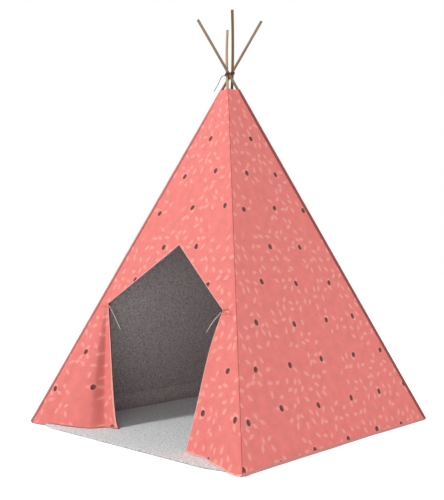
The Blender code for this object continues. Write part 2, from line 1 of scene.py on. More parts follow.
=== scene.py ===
"""Looks of a children's play tent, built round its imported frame.

Units are metres and +Z is up. The door faces -Y, and the origin is on the floor at the middle
of the base. Poles and faces are numbered anticlockwise seen from above, from the front left
pole and the door, and face n lies between pole n and the next one. A side of a face is -1 for
its left, seen from outside, and 1 for its right.
"""

import json
import math

import bpy
from bpy.props import FloatProperty, FloatVectorProperty, IntProperty, PointerProperty
from mathutils import Matrix, Vector, noise
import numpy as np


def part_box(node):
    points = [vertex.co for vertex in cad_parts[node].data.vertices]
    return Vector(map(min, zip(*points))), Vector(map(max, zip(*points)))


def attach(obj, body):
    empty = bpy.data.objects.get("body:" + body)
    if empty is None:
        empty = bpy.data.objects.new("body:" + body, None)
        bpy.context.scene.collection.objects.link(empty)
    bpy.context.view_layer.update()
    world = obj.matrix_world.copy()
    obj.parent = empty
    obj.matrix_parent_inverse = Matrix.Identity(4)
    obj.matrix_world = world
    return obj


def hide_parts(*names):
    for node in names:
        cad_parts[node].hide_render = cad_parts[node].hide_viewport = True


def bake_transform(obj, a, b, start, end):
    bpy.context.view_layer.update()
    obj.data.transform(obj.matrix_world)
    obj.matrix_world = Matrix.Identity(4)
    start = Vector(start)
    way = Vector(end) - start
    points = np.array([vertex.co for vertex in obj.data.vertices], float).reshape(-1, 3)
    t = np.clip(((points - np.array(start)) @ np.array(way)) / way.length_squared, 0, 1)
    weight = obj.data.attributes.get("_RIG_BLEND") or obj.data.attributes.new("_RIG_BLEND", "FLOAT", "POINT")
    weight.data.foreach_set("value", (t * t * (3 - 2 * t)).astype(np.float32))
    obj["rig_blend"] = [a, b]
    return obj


bl_info = {
    "name": "Play Tent",
    "version": (1, 0, 0),
    "blender": (4, 5, 0),
    "location": "3D View > Sidebar > Play Tent",
    "description": "Adds a play tent with a printed cover, lashed poles and a fleece mat",
    "category": "Add Mesh",
}

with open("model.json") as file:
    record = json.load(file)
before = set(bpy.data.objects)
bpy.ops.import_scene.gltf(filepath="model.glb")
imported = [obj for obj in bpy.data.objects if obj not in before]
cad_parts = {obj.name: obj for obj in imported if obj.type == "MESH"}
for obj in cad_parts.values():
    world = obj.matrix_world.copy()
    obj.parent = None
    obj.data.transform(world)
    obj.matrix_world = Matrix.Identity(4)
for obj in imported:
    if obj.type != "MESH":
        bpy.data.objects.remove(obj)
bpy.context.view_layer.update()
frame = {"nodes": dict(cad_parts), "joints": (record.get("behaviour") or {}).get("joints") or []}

SIDE_WORDS = {-1: "left", 1: "right"}

# Frame: pole and face names with the bodies that they move with
POLE_NAMES = ("front_left", "front_right", "back_right", "back_left")
FACE_NAMES = ("door_panel", "right_panel", "back_panel", "left_panel")
POLE_BODIES = tuple(f"{name}_pole_set" for name in POLE_NAMES)
COVER_BODY = "cover"
DOOR_FACE = 0
LEFT_POLE = 0
RIGHT_POLE = 1

# Poles
POLE_DIAMETER = 0.0120
POLE_END_ROUND = 0.0016
POLE_WARP = 0.0090  # of a dowel's tip, which has warped from straight above the crossing
POLE_UNEVEN = 0.00018
# The front right pole's paler pine is painted light, and the back left pole's darker pine is painted shade.
POLE_WOODS = ("pine", "pale_pine", "pine", "old_pine")
DOWEL_RINGS = 60
TIP_RINGS = 5
TIP_RISE = 0.0006  # of a rounded tip, which would end lower than a sharp one
ROUND_SIDES = 28
SHARP_ANGLE = math.radians(50)
FERRULE_DIAMETER = 0.0126
SLEEVE_EASE = 0.0003  # between a ferrule and the sleeve
SLEEVE_PUCKER = 0.00035
SLEEVE_FLARE = 0.0008  # of its lower end, where the cloth isn't held
SLEEVE_FLARE_REACH = 0.020
SLEEVE_FLARE_FADE = 0.008
SLEEVE_INSET = 0.0002  # of its cloth, so that its puckers stay near the real radius
SLEEVE_END_LEVEL = 0.0048  # of a sleeve's lower ring, which hides the foot's cap
SLEEVE_SIDES = 36
SLEEVE_RINGS = 240
FOOT_HEIGHT = 0.008
FOOT_RINGS = 8
FOOT_TIP_RADIUS = 0.0004
FOOT_PROFILE = (  # shares of its height, and how far in its side lies there
    (0.20, 0), (0.30, 0.0006), (0.45, 0.0006), (0.55, 0), (0.9, 0), (1, 0.0005),
)
FOOT_EASE = 0.0003  # between its bore and the pole
FOOT_BORE_LEVEL = 0.003
CROSSING_HEIGHT = 1.500
COVER_TOP_HEIGHT = 1.436

# Cover
PANEL_SET_OUT = 0.0045
PANEL_SAG = 0.0060
HEM_LEVEL = 0.0010
HEM_STEP = 0.0008  # of the doubled cloth over the single
STITCH_PULL = 0.0006
SEAM_GAP = 0.0003
FOLLOW_SHARE = 0.84  # of half a face, past which the cloth wholly follows its pole
LINING_LEAD = 0.008  # of the lining's share of a pole's swing over the face's
EDGE_REACH = 0.0400  # from a sleeve, over which the cloth bends towards its edge
SEAM_SWELL = 0.0020
SEAM_CREST = 0.0075  # from a sleeve, where the cloth turns down into its seam
SEAM_DIP = 0.0030
SEAM_START = 0.003
SEAM_THICKNESS = 0.0004
SEAM_SHARES = (1.0, 0.66, 0.33, 0.0)  # of a strip's width, from its edge to its sleeve
SEAM_LIFT = 0.0011  # of a strip over the panel's cloth, at the sleeve
SEAM_FALL = 0.0005  # of that lift, out to the strip's edge
SEWN_SHARES = (1.0, 0.75, 0.5, 0.3, 0.225, 0.19, 0.15, 0.11, 0.075, 0.04, 0.0)
WRAP_LANDING = math.radians(82)  # round the sleeve, from the face's line
WRAP_ENDS = {  # by face and side, where the cloth runs over its sleeve
    (0, 1): math.radians(144),
    (1, -1): math.radians(100),
    (2, -1): math.radians(126),
    (3, -1): math.radians(198),
}
WRAP_STEPS = 10
WRAP_TURNS = 9
WRAP_PULL = 0.4  # of the way to the sleeve, over which the cloth stays straight
CORNER_SEAM_TURNS = (130, 143, 150, 158, 166, 182)  # round the near sleeve from the door's line
SEAM_TURNS = (12, 20, 28, 36)  # of a sewn strip's edge, up its sleeve
SHADE_STRIP_TURNS = (12, 32, 52, 72, 92, 112, 138)  # of the dark strip over the back right sleeve, which is painted shade
SHADE_STRIP_SHARE = 1.6  # of the shaded strip's width in its dip, set against a seam's
DOOR_COLUMNS = 34
DOOR_SIDE_PARTS = (1.3, 1.6, 1.85)  # from over the opening's corner to the cloth's bend
HEM_PLACE = 2  # of the lower hem's finish, in a half panel's
ROLL_SPACING = 0.006  # of a rolled hem's rings

# Turned-in edge of a plain panel's lining, over the mat: how far in it lies, and its height there
SKIRT_PROFILE = (
    (0.108, 0.0100), (0.090, 0.0100), (0.068, 0.0106), (0.045, 0.0150),
    (0.024, 0.0260), (0.009, 0.0440), (0.0015, 0.0620),
)
SKIRT_END = 0.012  # from the wall's edge
SKIRT_COLUMNS = 40
SKIRT_LIFT = 0.0010

# Door, with its pairs in the order of the left and the right flap
DOOR_PEAK_HEIGHT = 0.760
TIE_HEIGHT = 0.512
TIE_INSETS = (0.060, 0.056)
FLAP_HEM_LEVEL = 0.0091
HEM_REACHES = (0.404, 0.332)
HEM_DRIFTS = (0.148, 0.078)
HEM_CLIMB_SHARES = (0.14, 0.26)
EDGE_BOWS = (-0.0190, 0.0140)
BOW_PEAK_SHARES = (0.18, 0.70)
FOLD_PLACE_SHARES = (
    (0, 0.10, 0.18, 0.27, 0.37, 0.50, 0.62, 0.70, 0.76, 0.80, 0.835, 0.865, 0.91, 1),
    (0, 0.14, 0.28, 0.42, 0.56, 0.69, 0.83, 1),
)
FOLD_DEPTHS = (
    (0, -0.0170, -0.0235, -0.0225, -0.0300, -0.0385, -0.0400)
    + (-0.0385, -0.0320, -0.0180, -0.0010, 0.0070, 0.0040, 0),
    (0, -0.0080, -0.0120, -0.0080, 0.0020, 0.0100, -0.0010, 0),
)
FOLD_FADE_POWERS = (2.0, 0.5)
GATHER_DEPTH = 0.0008
GATHER_COUNT = 3
FLAP_COLUMNS = 140
FLAP_ROWS = 100
FLAP_BEND_SHARE = 0.8  # of its width, which its bend at the sleeve doesn't pass
FLAP_SWING_START = 0.02  # below the tie, where its cloth starts to swing
FLAP_SWING_END = 0.20
CURL_DEGREES = 115  # of a free edge's turn
CURL_STEPS = 5
TURNED_STEPS = 3

# Ties and lashing, with their loose ends' routes from the knot or the crossing
TIE_DROP = 0.011
TIE_EASE = 0.0022
TIE_LEAVING_ANGLE = math.radians(62)
KNOT_DIAMETER = 0.0085
CORD_GAP = 0.0003
TIE_END_ROUTES = {
    "door_tie_left_end": (
        (0.013, 0.002, -0.010), (0.027, 0.004, -0.025), (0.042, 0.005, -0.042),
        (0.058, 0.005, -0.066), (0.076, 0.004, -0.092),
    ),
    "door_tie_right_end": (
        (0.010, 0.004, -0.011), (0.019, 0.008, -0.021), (0.034, 0.010, -0.037),
        (0.051, 0.010, -0.056), (0.068, 0.008, -0.075),
    ),
    "door_tie_right_short_cord": (
        (-0.006, 0.007, 0.009), (-0.018, 0.008, 0.012), (-0.033, 0.008, 0.013),
        (-0.050, 0.007, 0.018),
    ),
}
TIE_ENDS = (
    ("door_tie_left_end", LEFT_POLE, "tie", "tie_left_tail"),
    ("door_tie_right_end", RIGHT_POLE, "tie", "tie_right_tail"),
    ("door_tie_right_short_cord", RIGHT_POLE, "tie_end_painted_shade", "tie_right_short_end"),
)
LASHING_TURNS = 3
LASHING_PITCH = 0.0037
LASHING_SLOPE_SHARE = 0.20
LASHING_RISE = 0.0090
LASHING_END_ANGLE = math.radians(-75)
LASHING_TAIL_ROUTE = (
    (-0.0100, -0.0260, 0.0000), (-0.0220, -0.0300, -0.0060), (-0.0330, -0.0340, -0.0280),
    (-0.0440, -0.0400, -0.0500), (-0.0530, -0.0450, -0.0680),
)
LEAN_STEPS = 4
LOOP_POINTS = 48
KNOT_POINTS = 72

# Mat
MAT_THICKNESS = 0.008
MAT_LOW_SHARE = 0.45  # of its thickness, where its edge is widest
MAT_HIGH_SHARE = 0.55
MAT_EDGE_ROUND = 0.0025
MAT_CORNER_RADIUS = 0.045
MAT_BEND = 0.006  # of its top towards its edge
MAT_EDGE_LEAN = 0.15  # of its pile's normals over the edge, which is as soft as the top
MAT_CELLS = 90
MAT_TUFT = 0.0005
MAT_WAVE = 0.0007
MAT_PILE_LIMIT = 0.0006
MAT_EDGE_START = 0.010
MAT_EDGE_STEPS = (0.008, 0.005, 0.003, 0.0015, 0.0005, 0.0)
MAT_FRONT_REACH = 0.020  # of the mat's edge in the doorway, beyond the other sides
MAT_FRONT_HALF_WIDTH = 0.53
MAT_FRONT_FADE = 0.10
MAT_FRONT_START = 0.30  # from the tent's middle, where that reach starts
MAT_FRONT_SPAN = 0.25

# Stage, with its camera worked out from the photograph's feet, tips and door corners
CAMERA_PLACE = (2.1929, -2.3920, 0.6819)
CAMERA_TURN = (math.radians(91.039), 0.0, math.radians(43.110))
CAMERA_LENS = 53.70
SENSOR_WIDTH = 36.0
LAMP_AIM = 0.7
LAMPS = (  # name, degrees to the right of the door's front, degrees up, distance, size, power
    ("key", -25, 46, 6.3, 0.60, 201.0),
    ("side_fill", 115, 20, 6.0, 2.5, 106.0),
    ("front_fill", 34, 4, 6.0, 2.5, 56.0),
)
FLOOR_REACH = 30.0
FLOOR_LEVEL = -0.0008
FLOOR_VALUE = 0.82
FLOOR_GLOW = 0.80
SURROUND_LIGHT = 0.36

# Materials' patterns, in cycles a metre unless they are lengths
BLOTCH_SCALE = 26.0  # uneven dye, about 40 mm across
SLUB_STRETCHES = ((18.0, 190.0, 1.0), (190.0, 18.0, 1.0))  # thicker yarn, 55 mm by 5 mm
FLECK_SCALE = 265.0  # 4 mm flecks of yarn, which is coarser than real ones so that they show
GRAIN_STRETCH = (420.0, 9.0, 1.0)  # wood grain, 2.4 mm by 110 mm
SCRATCH_STRETCH = (900.0, 900.0, 30.0)  # drawing marks, 1 mm by 33 mm
FIBRE_SCALE = 900.0  # fibres and moulded grain of about 1 mm
STITCH_LINE = 0.0016  # from a strip's edge
STITCH_PITCH = 0.0032


def joint_named(name):
    return next(joint for joint in frame["joints"] if joint["name"] == name)


FIRST_FOOT = Vector(joint_named("left_flap_swing")["pos_m"])
FIRST_CROSSING = Vector(joint_named("front_left_fold")["pos_m"])
FOLD_ANGLE = math.radians(joint_named("front_left_fold")["range_deg"][1])
pole_radius = POLE_DIAMETER / 2
sleeve_bore = FERRULE_DIAMETER / 2 + SLEEVE_EASE
sleeve_radius = FIRST_FOOT.z
base_side = -2 * FIRST_FOOT.x
cut_slant = 1 / math.cos(math.atan2(base_side / 2, CROSSING_HEIGHT))  # of the cloth for its height


def linear_colour(code):
    """The linear value of an sRGB colour written as six hex digits."""
    parts = [int(code[i : i + 2], 16) / 255 for i in (0, 2, 4)]
    return tuple(c / 12.92 if c <= 0.04045 else ((c + 0.055) / 1.055) ** 2.4 for c in parts)


def length_value(name, about, value):
    return FloatProperty(name=name, description=about, default=value, unit="LENGTH", precision=4)


def colour_value(name, about, code):
    value = linear_colour(code)
    return FloatVectorProperty(
        name=name, description=about, default=value, subtype="COLOR", size=3, min=0.0, max=1.0
    )


class TentSizes(bpy.types.PropertyGroup):
    """Sizes of the tent's cloth, print and cords"""

    cloth_thickness: length_value("Cloth thickness", "Thickness of the cover's canvas", 0.0010)
    hem_height: length_value("Hem height", "Height of the doubled cloth along a hem", 0.018)
    hem_roll: length_value("Rolled hem", "Diameter of the rolled edge over the door", 0.0034)
    edge_turn: length_value("Turned edge", "Cloth turned in along a flap's free edge", 0.012)
    flap_crease: length_value("Flap crease", "Depth of the small creases of a flap", 0.0016)
    seam_width: length_value("Seam width", "Width of the sewn strip beside a sleeve", 0.0056)
    panel_wave: length_value("Panel wave", "How far a taut panel waves in and out", 0.0022)
    stroke_length: length_value("Stroke length", "Length of a printed brush stroke", 0.0335)
    stroke_width: length_value("Stroke width", "Width of a printed brush stroke", 0.0175)
    stroke_spacing: length_value("Stroke spacing", "Between the middles of two strokes", 0.0435)
    seed_length: length_value("Seed length", "Length of a printed seed", 0.0275)
    seed_width: length_value("Seed width", "Width of a printed seed", 0.0235)
    seed_columns: length_value("Seed columns", "Between two seeds of a row", 0.205)
    seed_rows: length_value("Seed rows", "Between two rows of seeds", 0.160)
    thread_pitch: length_value("Thread pitch", "Weave, drawn coarse enough to show", 0.0022)
    tie_diameter: length_value("Tie cord", "Diameter of the door's tie cords", 0.0026)
    lashing_diameter: length_value("Lashing cord", "Diameter of the crossing's cord", 0.0030)
    fleece_tuft: length_value("Fleece tuft", "Size of a tuft of the mat's fleece", 0.009)
    panel_columns: IntProperty(name="Panel columns", description="In half a panel", default=36)
    panel_rows: IntProperty(name="Panel rows", description="In a panel", default=80)


class TentColours(bpy.types.PropertyGroup):
    """Colours of the tent"""

    canvas: colour_value("Canvas", "Ground of the printed cover", "f68882")
    stroke: colour_value("Stroke", "Printed brush strokes", "ffa79c")
    seed: colour_value("Seed", "Printed seeds", "683430")
    seed_light: colour_value("Seed light", "Lighter half of a printed seed", "925046")
    # The hem's pale colour is partly the print's paler wrong side and partly a painted highlight along lit
    # edges; on the print it also gives the seeds' halo.
    hem: colour_value("Hem", "Rolled hems, faded along their edge", "ffbcb2")
    # The seam's dark colour is painted shade: the groove beside a sleeve, and on the left flap the shadow
    # under its hem and the shaded inside of its turned edge.
    seam: colour_value("Seam", "Sewn strips beside the sleeves", "9e4c48")
    # The sleeve's greyer colour also lies on the lowest rows of the plain panels and the left flap, where it
    # is painted shade along the hem's lower edge.
    sleeve: colour_value("Sleeve", "Corner sleeves, where they show", "dc958f")
    # The corner seam's colour is painted shade for the groove at the near corner, lighter than the seam's
    # because that corner is lit.
    corner_seam: colour_value("Corner seam", "Sewn strip at the near corner", "c45d58")
    # The back right strip's dark colour is painted shade for that sleeve's shaded side.
    binding: colour_value("Binding", "Bound sleeve at the back right", "a25c5a")
    thread: colour_value("Thread", "Stitches", "d98078")
    lining: colour_value("Lining", "Inner side of the cover", "dbcfd0")
    lining_fleck: colour_value("Lining fleck", "Dark flecks of the inner side", "968c8e")
    red_yarn: colour_value("Red yarn", "Red flecks of the inner side", "8c5052")
    green_yarn: colour_value("Green yarn", "Green flecks of the inner side", "5e7468")
    fleece: colour_value("Fleece", "Floor mat", "f1f4f5")
    pine: colour_value("Pine", "Poles", "a18873")
    pine_dark: colour_value("Dark grain", "Late wood of the poles' grain", "7c654d")
    # Lit and shaded copies of the pine: the paler one is painted light, and the darker one and its grain are
    # painted shade.
    pale_pine: colour_value("Pale pine", "Paler front right pole", "cba27c")
    old_pine: colour_value("Old pine", "Darker back left pole", "86693f")
    old_pine_dark: colour_value("Old grain", "Late wood of the darker pole", "6b5030")
    rubber: colour_value("Rubber", "Feet", "2b2625")
    aluminium: colour_value("Aluminium", "Ferrules", "c9cacc")
    lashing: colour_value("Lashing", "Cord round the crossing", "6a3a28")
    # The loose end's lighter grey is a painted highlight on the brown lashing cord.
    lashing_tail: colour_value("Lashing tail", "Loose end of the lashing", "7a6d72")
    tie: colour_value("Tie", "Loose ends of the door's ties", "f3dad1")
    # The short end's dark tan is painted shade on the pale tie cord.
    tie_end_painted_shade: colour_value("Short tie end", "Short end of the right tie", "8a5a4c")


def sizes():
    return bpy.context.scene.tent_sizes


def set_inputs(tree, node, inputs):
    """Sets a node's inputs by name or place, each to a value or by a link from another node."""
    for place, value in inputs.items():
        socket = node.inputs[place]
        if isinstance(value, bpy.types.NodeSocket):
            tree.links.new(value, socket)
        elif socket.type == "RGBA":
            socket.default_value = (*value, 1)
        else:
            socket.default_value = value


def add_node(tree, kind, inputs=(), out=0, **settings):
    """Adds a node with its settings and links, and gives one of its outputs.

    Its inputs go by name or place, or are a list in the node's own order.
    """
    node = tree.nodes.new("ShaderNode" + kind)
    for name, value in settings.items():
        setattr(node, name, value)
    set_inputs(tree, node, inputs if isinstance(inputs, dict) else dict(enumerate(inputs)))
    return node.outputs[out]


def printed_strokes(tree, cut):
    """Mask of lens-shaped brush strokes, one to a cell, lying every way and in loose clusters."""
    size = sizes()
    cells = add_node(
        tree,
        "TexVoronoi",
        {"Vector": cut, "Scale": 1 / size.stroke_spacing, "Randomness": 0.66},
        out="Position",
        voronoi_dimensions="2D",
    )
    picks = add_node(tree, "SeparateColor", [cells.node.outputs["Color"]]).node.outputs
    away = add_node(tree, "VectorMath", [cut, cells], operation="SUBTRACT")
    angle = add_node(tree, "Math", [picks[0], math.tau], operation="MULTIPLY")
    turned = add_node(
        tree, "VectorRotate", {"Vector": away, "Angle": angle}, rotation_type="Z_AXIS"
    )
    x, y, _ = add_node(tree, "SeparateXYZ", [turned]).node.outputs
    lengths = [2.3 / size.stroke_length, 1.7 / size.stroke_length]
    stretch = add_node(tree, "MapRange", [picks[1], 0.0, 1.0, *lengths])
    along = add_node(tree, "Math", [x, stretch], operation="MULTIPLY")
    across = add_node(tree, "Math", [y, 2 / size.stroke_width], operation="MULTIPLY")
    arch = add_node(tree, "Math", [along, along], operation="MULTIPLY")
    wide = add_node(tree, "Math", [across], operation="ABSOLUTE")
    used = add_node(tree, "Math", [arch, wide], operation="ADD")
    lens = add_node(tree, "MapRange", [used, 1.08, 0.50, 0.0, 1.0])
    clusters = add_node(
        tree, "TexNoise", {"Vector": cells, "Scale": 7.0, "Detail": 0.0}, noise_dimensions="2D"
    )
    kept = add_node(tree, "MapRange", [clusters, 0.35, 0.38, 0.0, 1.0])
    return add_node(tree, "Math", [lens, kept], operation="MULTIPLY")


def printed_seeds(tree, cut):
    """Distance from the middle of the nearest seed, where 1 is its edge, and the place across."""
    size = sizes()
    x, y, _ = add_node(tree, "SeparateXYZ", [cut]).node.outputs
    row = add_node(tree, "Math", [y, 1 / size.seed_rows], operation="MULTIPLY")
    column = add_node(tree, "Math", [x, 1 / size.seed_columns], operation="MULTIPLY")
    stagger = add_node(tree, "Math", [row, 0.5, column], operation="MULTIPLY_ADD")
    lattice = add_node(tree, "CombineXYZ", [stagger, row])
    cells = add_node(
        tree,
        "TexVoronoi",
        {"Vector": lattice, "Scale": 1.0, "Randomness": 0.16},
        out="Position",
        voronoi_dimensions="2D",
    )
    away = add_node(tree, "VectorMath", [lattice, cells], operation="SUBTRACT")
    x, y, _ = add_node(tree, "SeparateXYZ", [away]).node.outputs
    upright = add_node(tree, "Math", [y, -0.5, x], operation="MULTIPLY_ADD")
    real = add_node(tree, "CombineXYZ", [upright, y])
    spacing = (size.seed_columns, size.seed_rows, 0.0)
    scaled = add_node(tree, "VectorMath", [real, spacing], operation="MULTIPLY")
    pick = add_node(tree, "SeparateColor", [cells.node.outputs["Color"]])
    angle = add_node(tree, "MapRange", [pick, 0.0, 1.0, -0.7, 0.9])
    turned = add_node(
        tree, "VectorRotate", {"Vector": scaled, "Angle": angle}, rotation_type="Z_AXIS"
    )
    edge = (2 / size.seed_width, 2 / size.seed_length, 0.0)
    shaped = add_node(tree, "VectorMath", [turned, edge], operation="MULTIPLY")
    reach = add_node(tree, "VectorMath", [shaped], out="Value", operation="LENGTH")
    return reach, add_node(tree, "SeparateXYZ", [shaped])


def canvas_bump(tree, cut, strength):
    """Plain weave: two sets of threads at right angles."""
    waves = []
    for side in add_node(tree, "SeparateXYZ", [cut]).node.outputs[:2]:
        turns = [side, math.tau / sizes().thread_pitch]
        phase = add_node(tree, "Math", turns, operation="MULTIPLY")
        waves.append(add_node(tree, "Math", [phase], operation="SINE"))
    weave = add_node(tree, "Math", waves, operation="MULTIPLY")
    return add_node(tree, "Bump", {"Height": weave, "Strength": strength, "Distance": 0.0002})


def slubs(tree, cut, low, high):
    """Uneven yarn: streaks along both sets of threads, from a low to a high brightness."""
    streaks = []
    for stretch in SLUB_STRETCHES:
        laid = add_node(tree, "VectorMath", [cut, stretch], operation="MULTIPLY")
        look = {"Vector": laid, "Scale": 1.0, "Detail": 2.0}
        streaks.append(add_node(tree, "TexNoise", look, noise_dimensions="2D"))
    both = add_node(tree, "Math", streaks, operation="ADD")
    return add_node(tree, "MapRange", [both, 0.6, 1.4, low, high])


def printed_canvas(tree, canvas, stroke, seed, seed_light, hem):
    """Cotton canvas, reactive printed: matt, softly hairy, with a faint weave under the print."""
    cut = add_node(tree, "UVMap", uv_map="cut")
    look = {"Vector": cut, "Scale": BLOTCH_SCALE, "Detail": 2.0}
    blotches = add_node(tree, "TexNoise", look, noise_dimensions="2D")
    tone = add_node(tree, "MapRange", [blotches, 0.3, 0.7, 0.955, 1.035])
    mixed = add_node(tree, "VectorMath", {0: canvas, 3: tone}, operation="SCALE")
    reach, across = printed_seeds(tree, cut)
    halves = add_node(tree, "MapRange", [across, 0.05, 0.55, 0.0, 1.0])
    seeds = add_node(tree, "Mix", {0: halves, 6: seed, 7: seed_light}, 2, data_type="RGBA")
    halo = add_node(tree, "MapRange", [reach, 1.45, 1.0, 0.0, 0.32])
    inside = add_node(tree, "MapRange", [reach, 1.0, 0.80, 0.0, 0.96])
    for share, laid in ((printed_strokes(tree, cut), stroke), (halo, hem), (inside, seeds)):
        mixed = add_node(tree, "Mix", {0: share, 6: mixed, 7: laid}, 2, data_type="RGBA")
    yarn = slubs(tree, cut, 0.965, 1.035)
    return {
        "Base Color": add_node(tree, "VectorMath", {0: mixed, 3: yarn}, operation="SCALE"),
        "Normal": canvas_bump(tree, cut, 0.35),
        "Roughness": 0.88,
        "Specular IOR Level": 0.2,
        "Sheen Weight": 0.08,
        "Sheen Roughness": 0.5,
    }


def plain_canvas(tree, colour):
    """The same cotton canvas without its print: a hem, the print's paler wrong side made paler still as a
    painted highlight along lit edges, or a sleeve, whose greyer colour also serves as painted shade along
    the lowest rows.
    """
    cut = add_node(tree, "UVMap", uv_map="cut")
    yarn = slubs(tree, cut, 0.93, 1.05)
    return {
        "Base Color": add_node(tree, "VectorMath", {0: colour, 3: yarn}, operation="SCALE"),
        "Normal": canvas_bump(tree, cut, 0.3),
        "Roughness": 0.9,
        "Specular IOR Level": 0.2,
    }


def heathered_lining(tree, lining, fleck, red_yarn, green_yarn):
    """Brushed cotton lining, yarn-dyed grey: matt, with flecks of dark, red and green yarn."""
    cut = add_node(tree, "UVMap", uv_map="cut")
    look = {"Vector": cut, "Scale": FLECK_SCALE, "Randomness": 1.0}
    flecks = add_node(tree, "TexVoronoi", look, out="Color", voronoi_dimensions="2D")
    first, second, third = add_node(tree, "SeparateColor", [flecks]).node.outputs
    mixed = lining
    for pick, start, end, strength, yarn in (
        (first, 0.62, 0.95, 0.85, fleck),
        (third, 0.84, 0.90, 0.40, red_yarn),
        (third, 0.16, 0.10, 0.30, green_yarn),
    ):
        share = add_node(tree, "MapRange", [pick, start, end, 0.0, strength])
        mixed = add_node(tree, "Mix", {0: share, 6: mixed, 7: yarn}, 2, data_type="RGBA")
    tone = add_node(tree, "MapRange", [second, 0.0, 1.0, 0.87, 1.13])
    return {
        "Base Color": add_node(tree, "VectorMath", {0: mixed, 3: tone}, operation="SCALE"),
        "Normal": canvas_bump(tree, cut, 0.3),
        "Roughness": 0.95,
        "Specular IOR Level": 0.1,
    }


def seam_canvas(tree, cloth, thread):
    """A sewn strip of the same canvas, unprinted, with a row of stitches along it; its dark colour is
    painted shade for the groove beside a sleeve.
    """
    cut = add_node(tree, "UVMap", uv_map="cut")
    x, y, _ = add_node(tree, "SeparateXYZ", [cut]).node.outputs
    off_line = add_node(tree, "Math", [x, -STITCH_LINE], operation="ADD")
    beside = add_node(tree, "Math", [off_line], operation="ABSOLUTE")
    beat = add_node(tree, "Math", [y, math.tau / STITCH_PITCH], operation="MULTIPLY")
    dash = add_node(tree, "Math", [beat], operation="SINE")
    on_line = add_node(tree, "MapRange", [beside, 0.0005, 0.0002, 0.0, 1.0])
    on_dash = add_node(tree, "MapRange", [dash, -0.55, -0.35, 0.0, 1.0])
    stitch = add_node(tree, "Math", [on_line, on_dash], operation="MULTIPLY")
    mixed = add_node(tree, "Mix", {0: stitch, 6: cloth, 7: thread}, 2, data_type="RGBA")
    yarn = slubs(tree, cut, 0.9, 1.1)
    return {
        "Base Color": add_node(tree, "VectorMath", {0: mixed, 3: yarn}, operation="SCALE"),
        "Normal": add_node(tree, "Bump", {"Height": stitch, "Strength": 0.6, "Distance": 0.0005}),
        "Roughness": 0.9,
        "Specular IOR Level": 0.2,
    }


def brushed_fleece(tree, colour):
    """Polyester fleece, sheared short: soft tufts that shade each other, no gloss."""
    place = add_node(tree, "TexCoord", out="Object")
    look = {"Vector": place, "Scale": 1 / sizes().fleece_tuft, "Detail": 3.0}
    tufts = add_node(tree, "TexNoise", look)
    tone = add_node(tree, "MapRange", [tufts, 0.3, 0.7, 0.68, 1.20])
    return {
        "Base Color": add_node(tree, "VectorMath", {0: colour, 3: tone}, operation="SCALE"),
        "Normal": add_node(tree, "Bump", {"Height": tufts, "Strength": 0.7, "Distance": 0.003}),
        "Roughness": 1.0,
        "Specular IOR Level": 0.1,
        "Sheen Weight": 0.25,
    }


def oiled_pine(tree, colour, grain_colour):
    """Pine dowel, turned and oiled: a satin surface with long grain and darker late wood."""
    cut = add_node(tree, "UVMap", uv_map="cut")
    laid = add_node(tree, "VectorMath", [cut, GRAIN_STRETCH], operation="MULTIPLY")
    look = {"Vector": laid, "Scale": 1.0, "Detail": 4.0, "Distortion": 0.4}
    grain = add_node(tree, "TexNoise", look, noise_dimensions="2D")
    share = add_node(tree, "MapRange", [grain, 0.35, 0.65, 0.0, 1.0])
    woods = {0: share, 6: colour, 7: grain_colour}
    return {
        "Base Color": add_node(tree, "Mix", woods, 2, data_type="RGBA"),
        "Normal": add_node(tree, "Bump", {"Height": grain, "Strength": 0.2, "Distance": 0.0003}),
        "Roughness": 0.5,
        "Specular IOR Level": 0.4,
    }


def moulded_rubber(tree, colour):
    """Rubber, moulded: near black and dull, with a fine eroded grain."""
    place = add_node(tree, "TexCoord", out="Object")
    grain = add_node(tree, "TexNoise", {"Vector": place, "Scale": FIBRE_SCALE, "Detail": 2.0})
    tone = add_node(tree, "MapRange", [grain, 0.0, 1.0, 0.8, 1.2])
    return {
        "Base Color": add_node(tree, "VectorMath", {0: colour, 3: tone}, operation="SCALE"),
        "Roughness": 0.75,
        "Specular IOR Level": 0.35,
    }


def drawn_aluminium(tree, colour):
    """Aluminium tube, drawn: bright, with fine scratches along its length."""
    place = add_node(tree, "TexCoord", out="Object")
    laid = add_node(tree, "VectorMath", [place, SCRATCH_STRETCH], operation="MULTIPLY")
    scratch = add_node(tree, "TexNoise", {"Vector": laid, "Scale": 1.0})
    return {
        "Base Color": colour,
        "Roughness": add_node(tree, "MapRange", [scratch, 0.0, 1.0, 0.25, 0.45]),
        "Metallic": 1.0,
    }


def twisted_cotton(tree, colour):
    """Cotton cord, twisted from three strands: matt, with stray fibres of unlike tone."""
    cut = add_node(tree, "UVMap", uv_map="cut")
    look = {"Vector": cut, "Scale": FIBRE_SCALE, "Detail": 2.0}
    fibre = add_node(tree, "TexNoise", look, noise_dimensions="2D")
    tone = add_node(tree, "MapRange", [fibre, 0.3, 0.7, 0.82, 1.15])
    return {
        "Base Color": add_node(tree, "VectorMath", {0: colour, 3: tone}, operation="SCALE"),
        "Roughness": 0.85,
        "Specular IOR Level": 0.2,
        "Sheen Weight": 0.15,
    }


def seen_directly(tree):
    """1 where the camera sees a surface, also mirrored or through glass, and 0 for light."""
    node = add_node(tree, "LightPath").node
    rays = [node.outputs[f"Is {kind} Ray"] for kind in ("Camera", "Glossy", "Transmission")]
    either = add_node(tree, "Math", rays[:2], operation="MAXIMUM")
    return add_node(tree, "Math", [either, rays[2]], operation="MAXIMUM")


def white_paper(tree):
    """Matt white paper: it shows a soft shadow and otherwise burns out to white."""
    glow = [seen_directly(tree), FLOOR_GLOW]
    return {
        "Base Color": (FLOOR_VALUE,) * 3,
        "Emission Color": (1, 1, 1),
        "Emission Strength": add_node(tree, "Math", glow, operation="MULTIPLY"),
        "Roughness": 1.0,
        "Specular IOR Level": 0.0,
    }


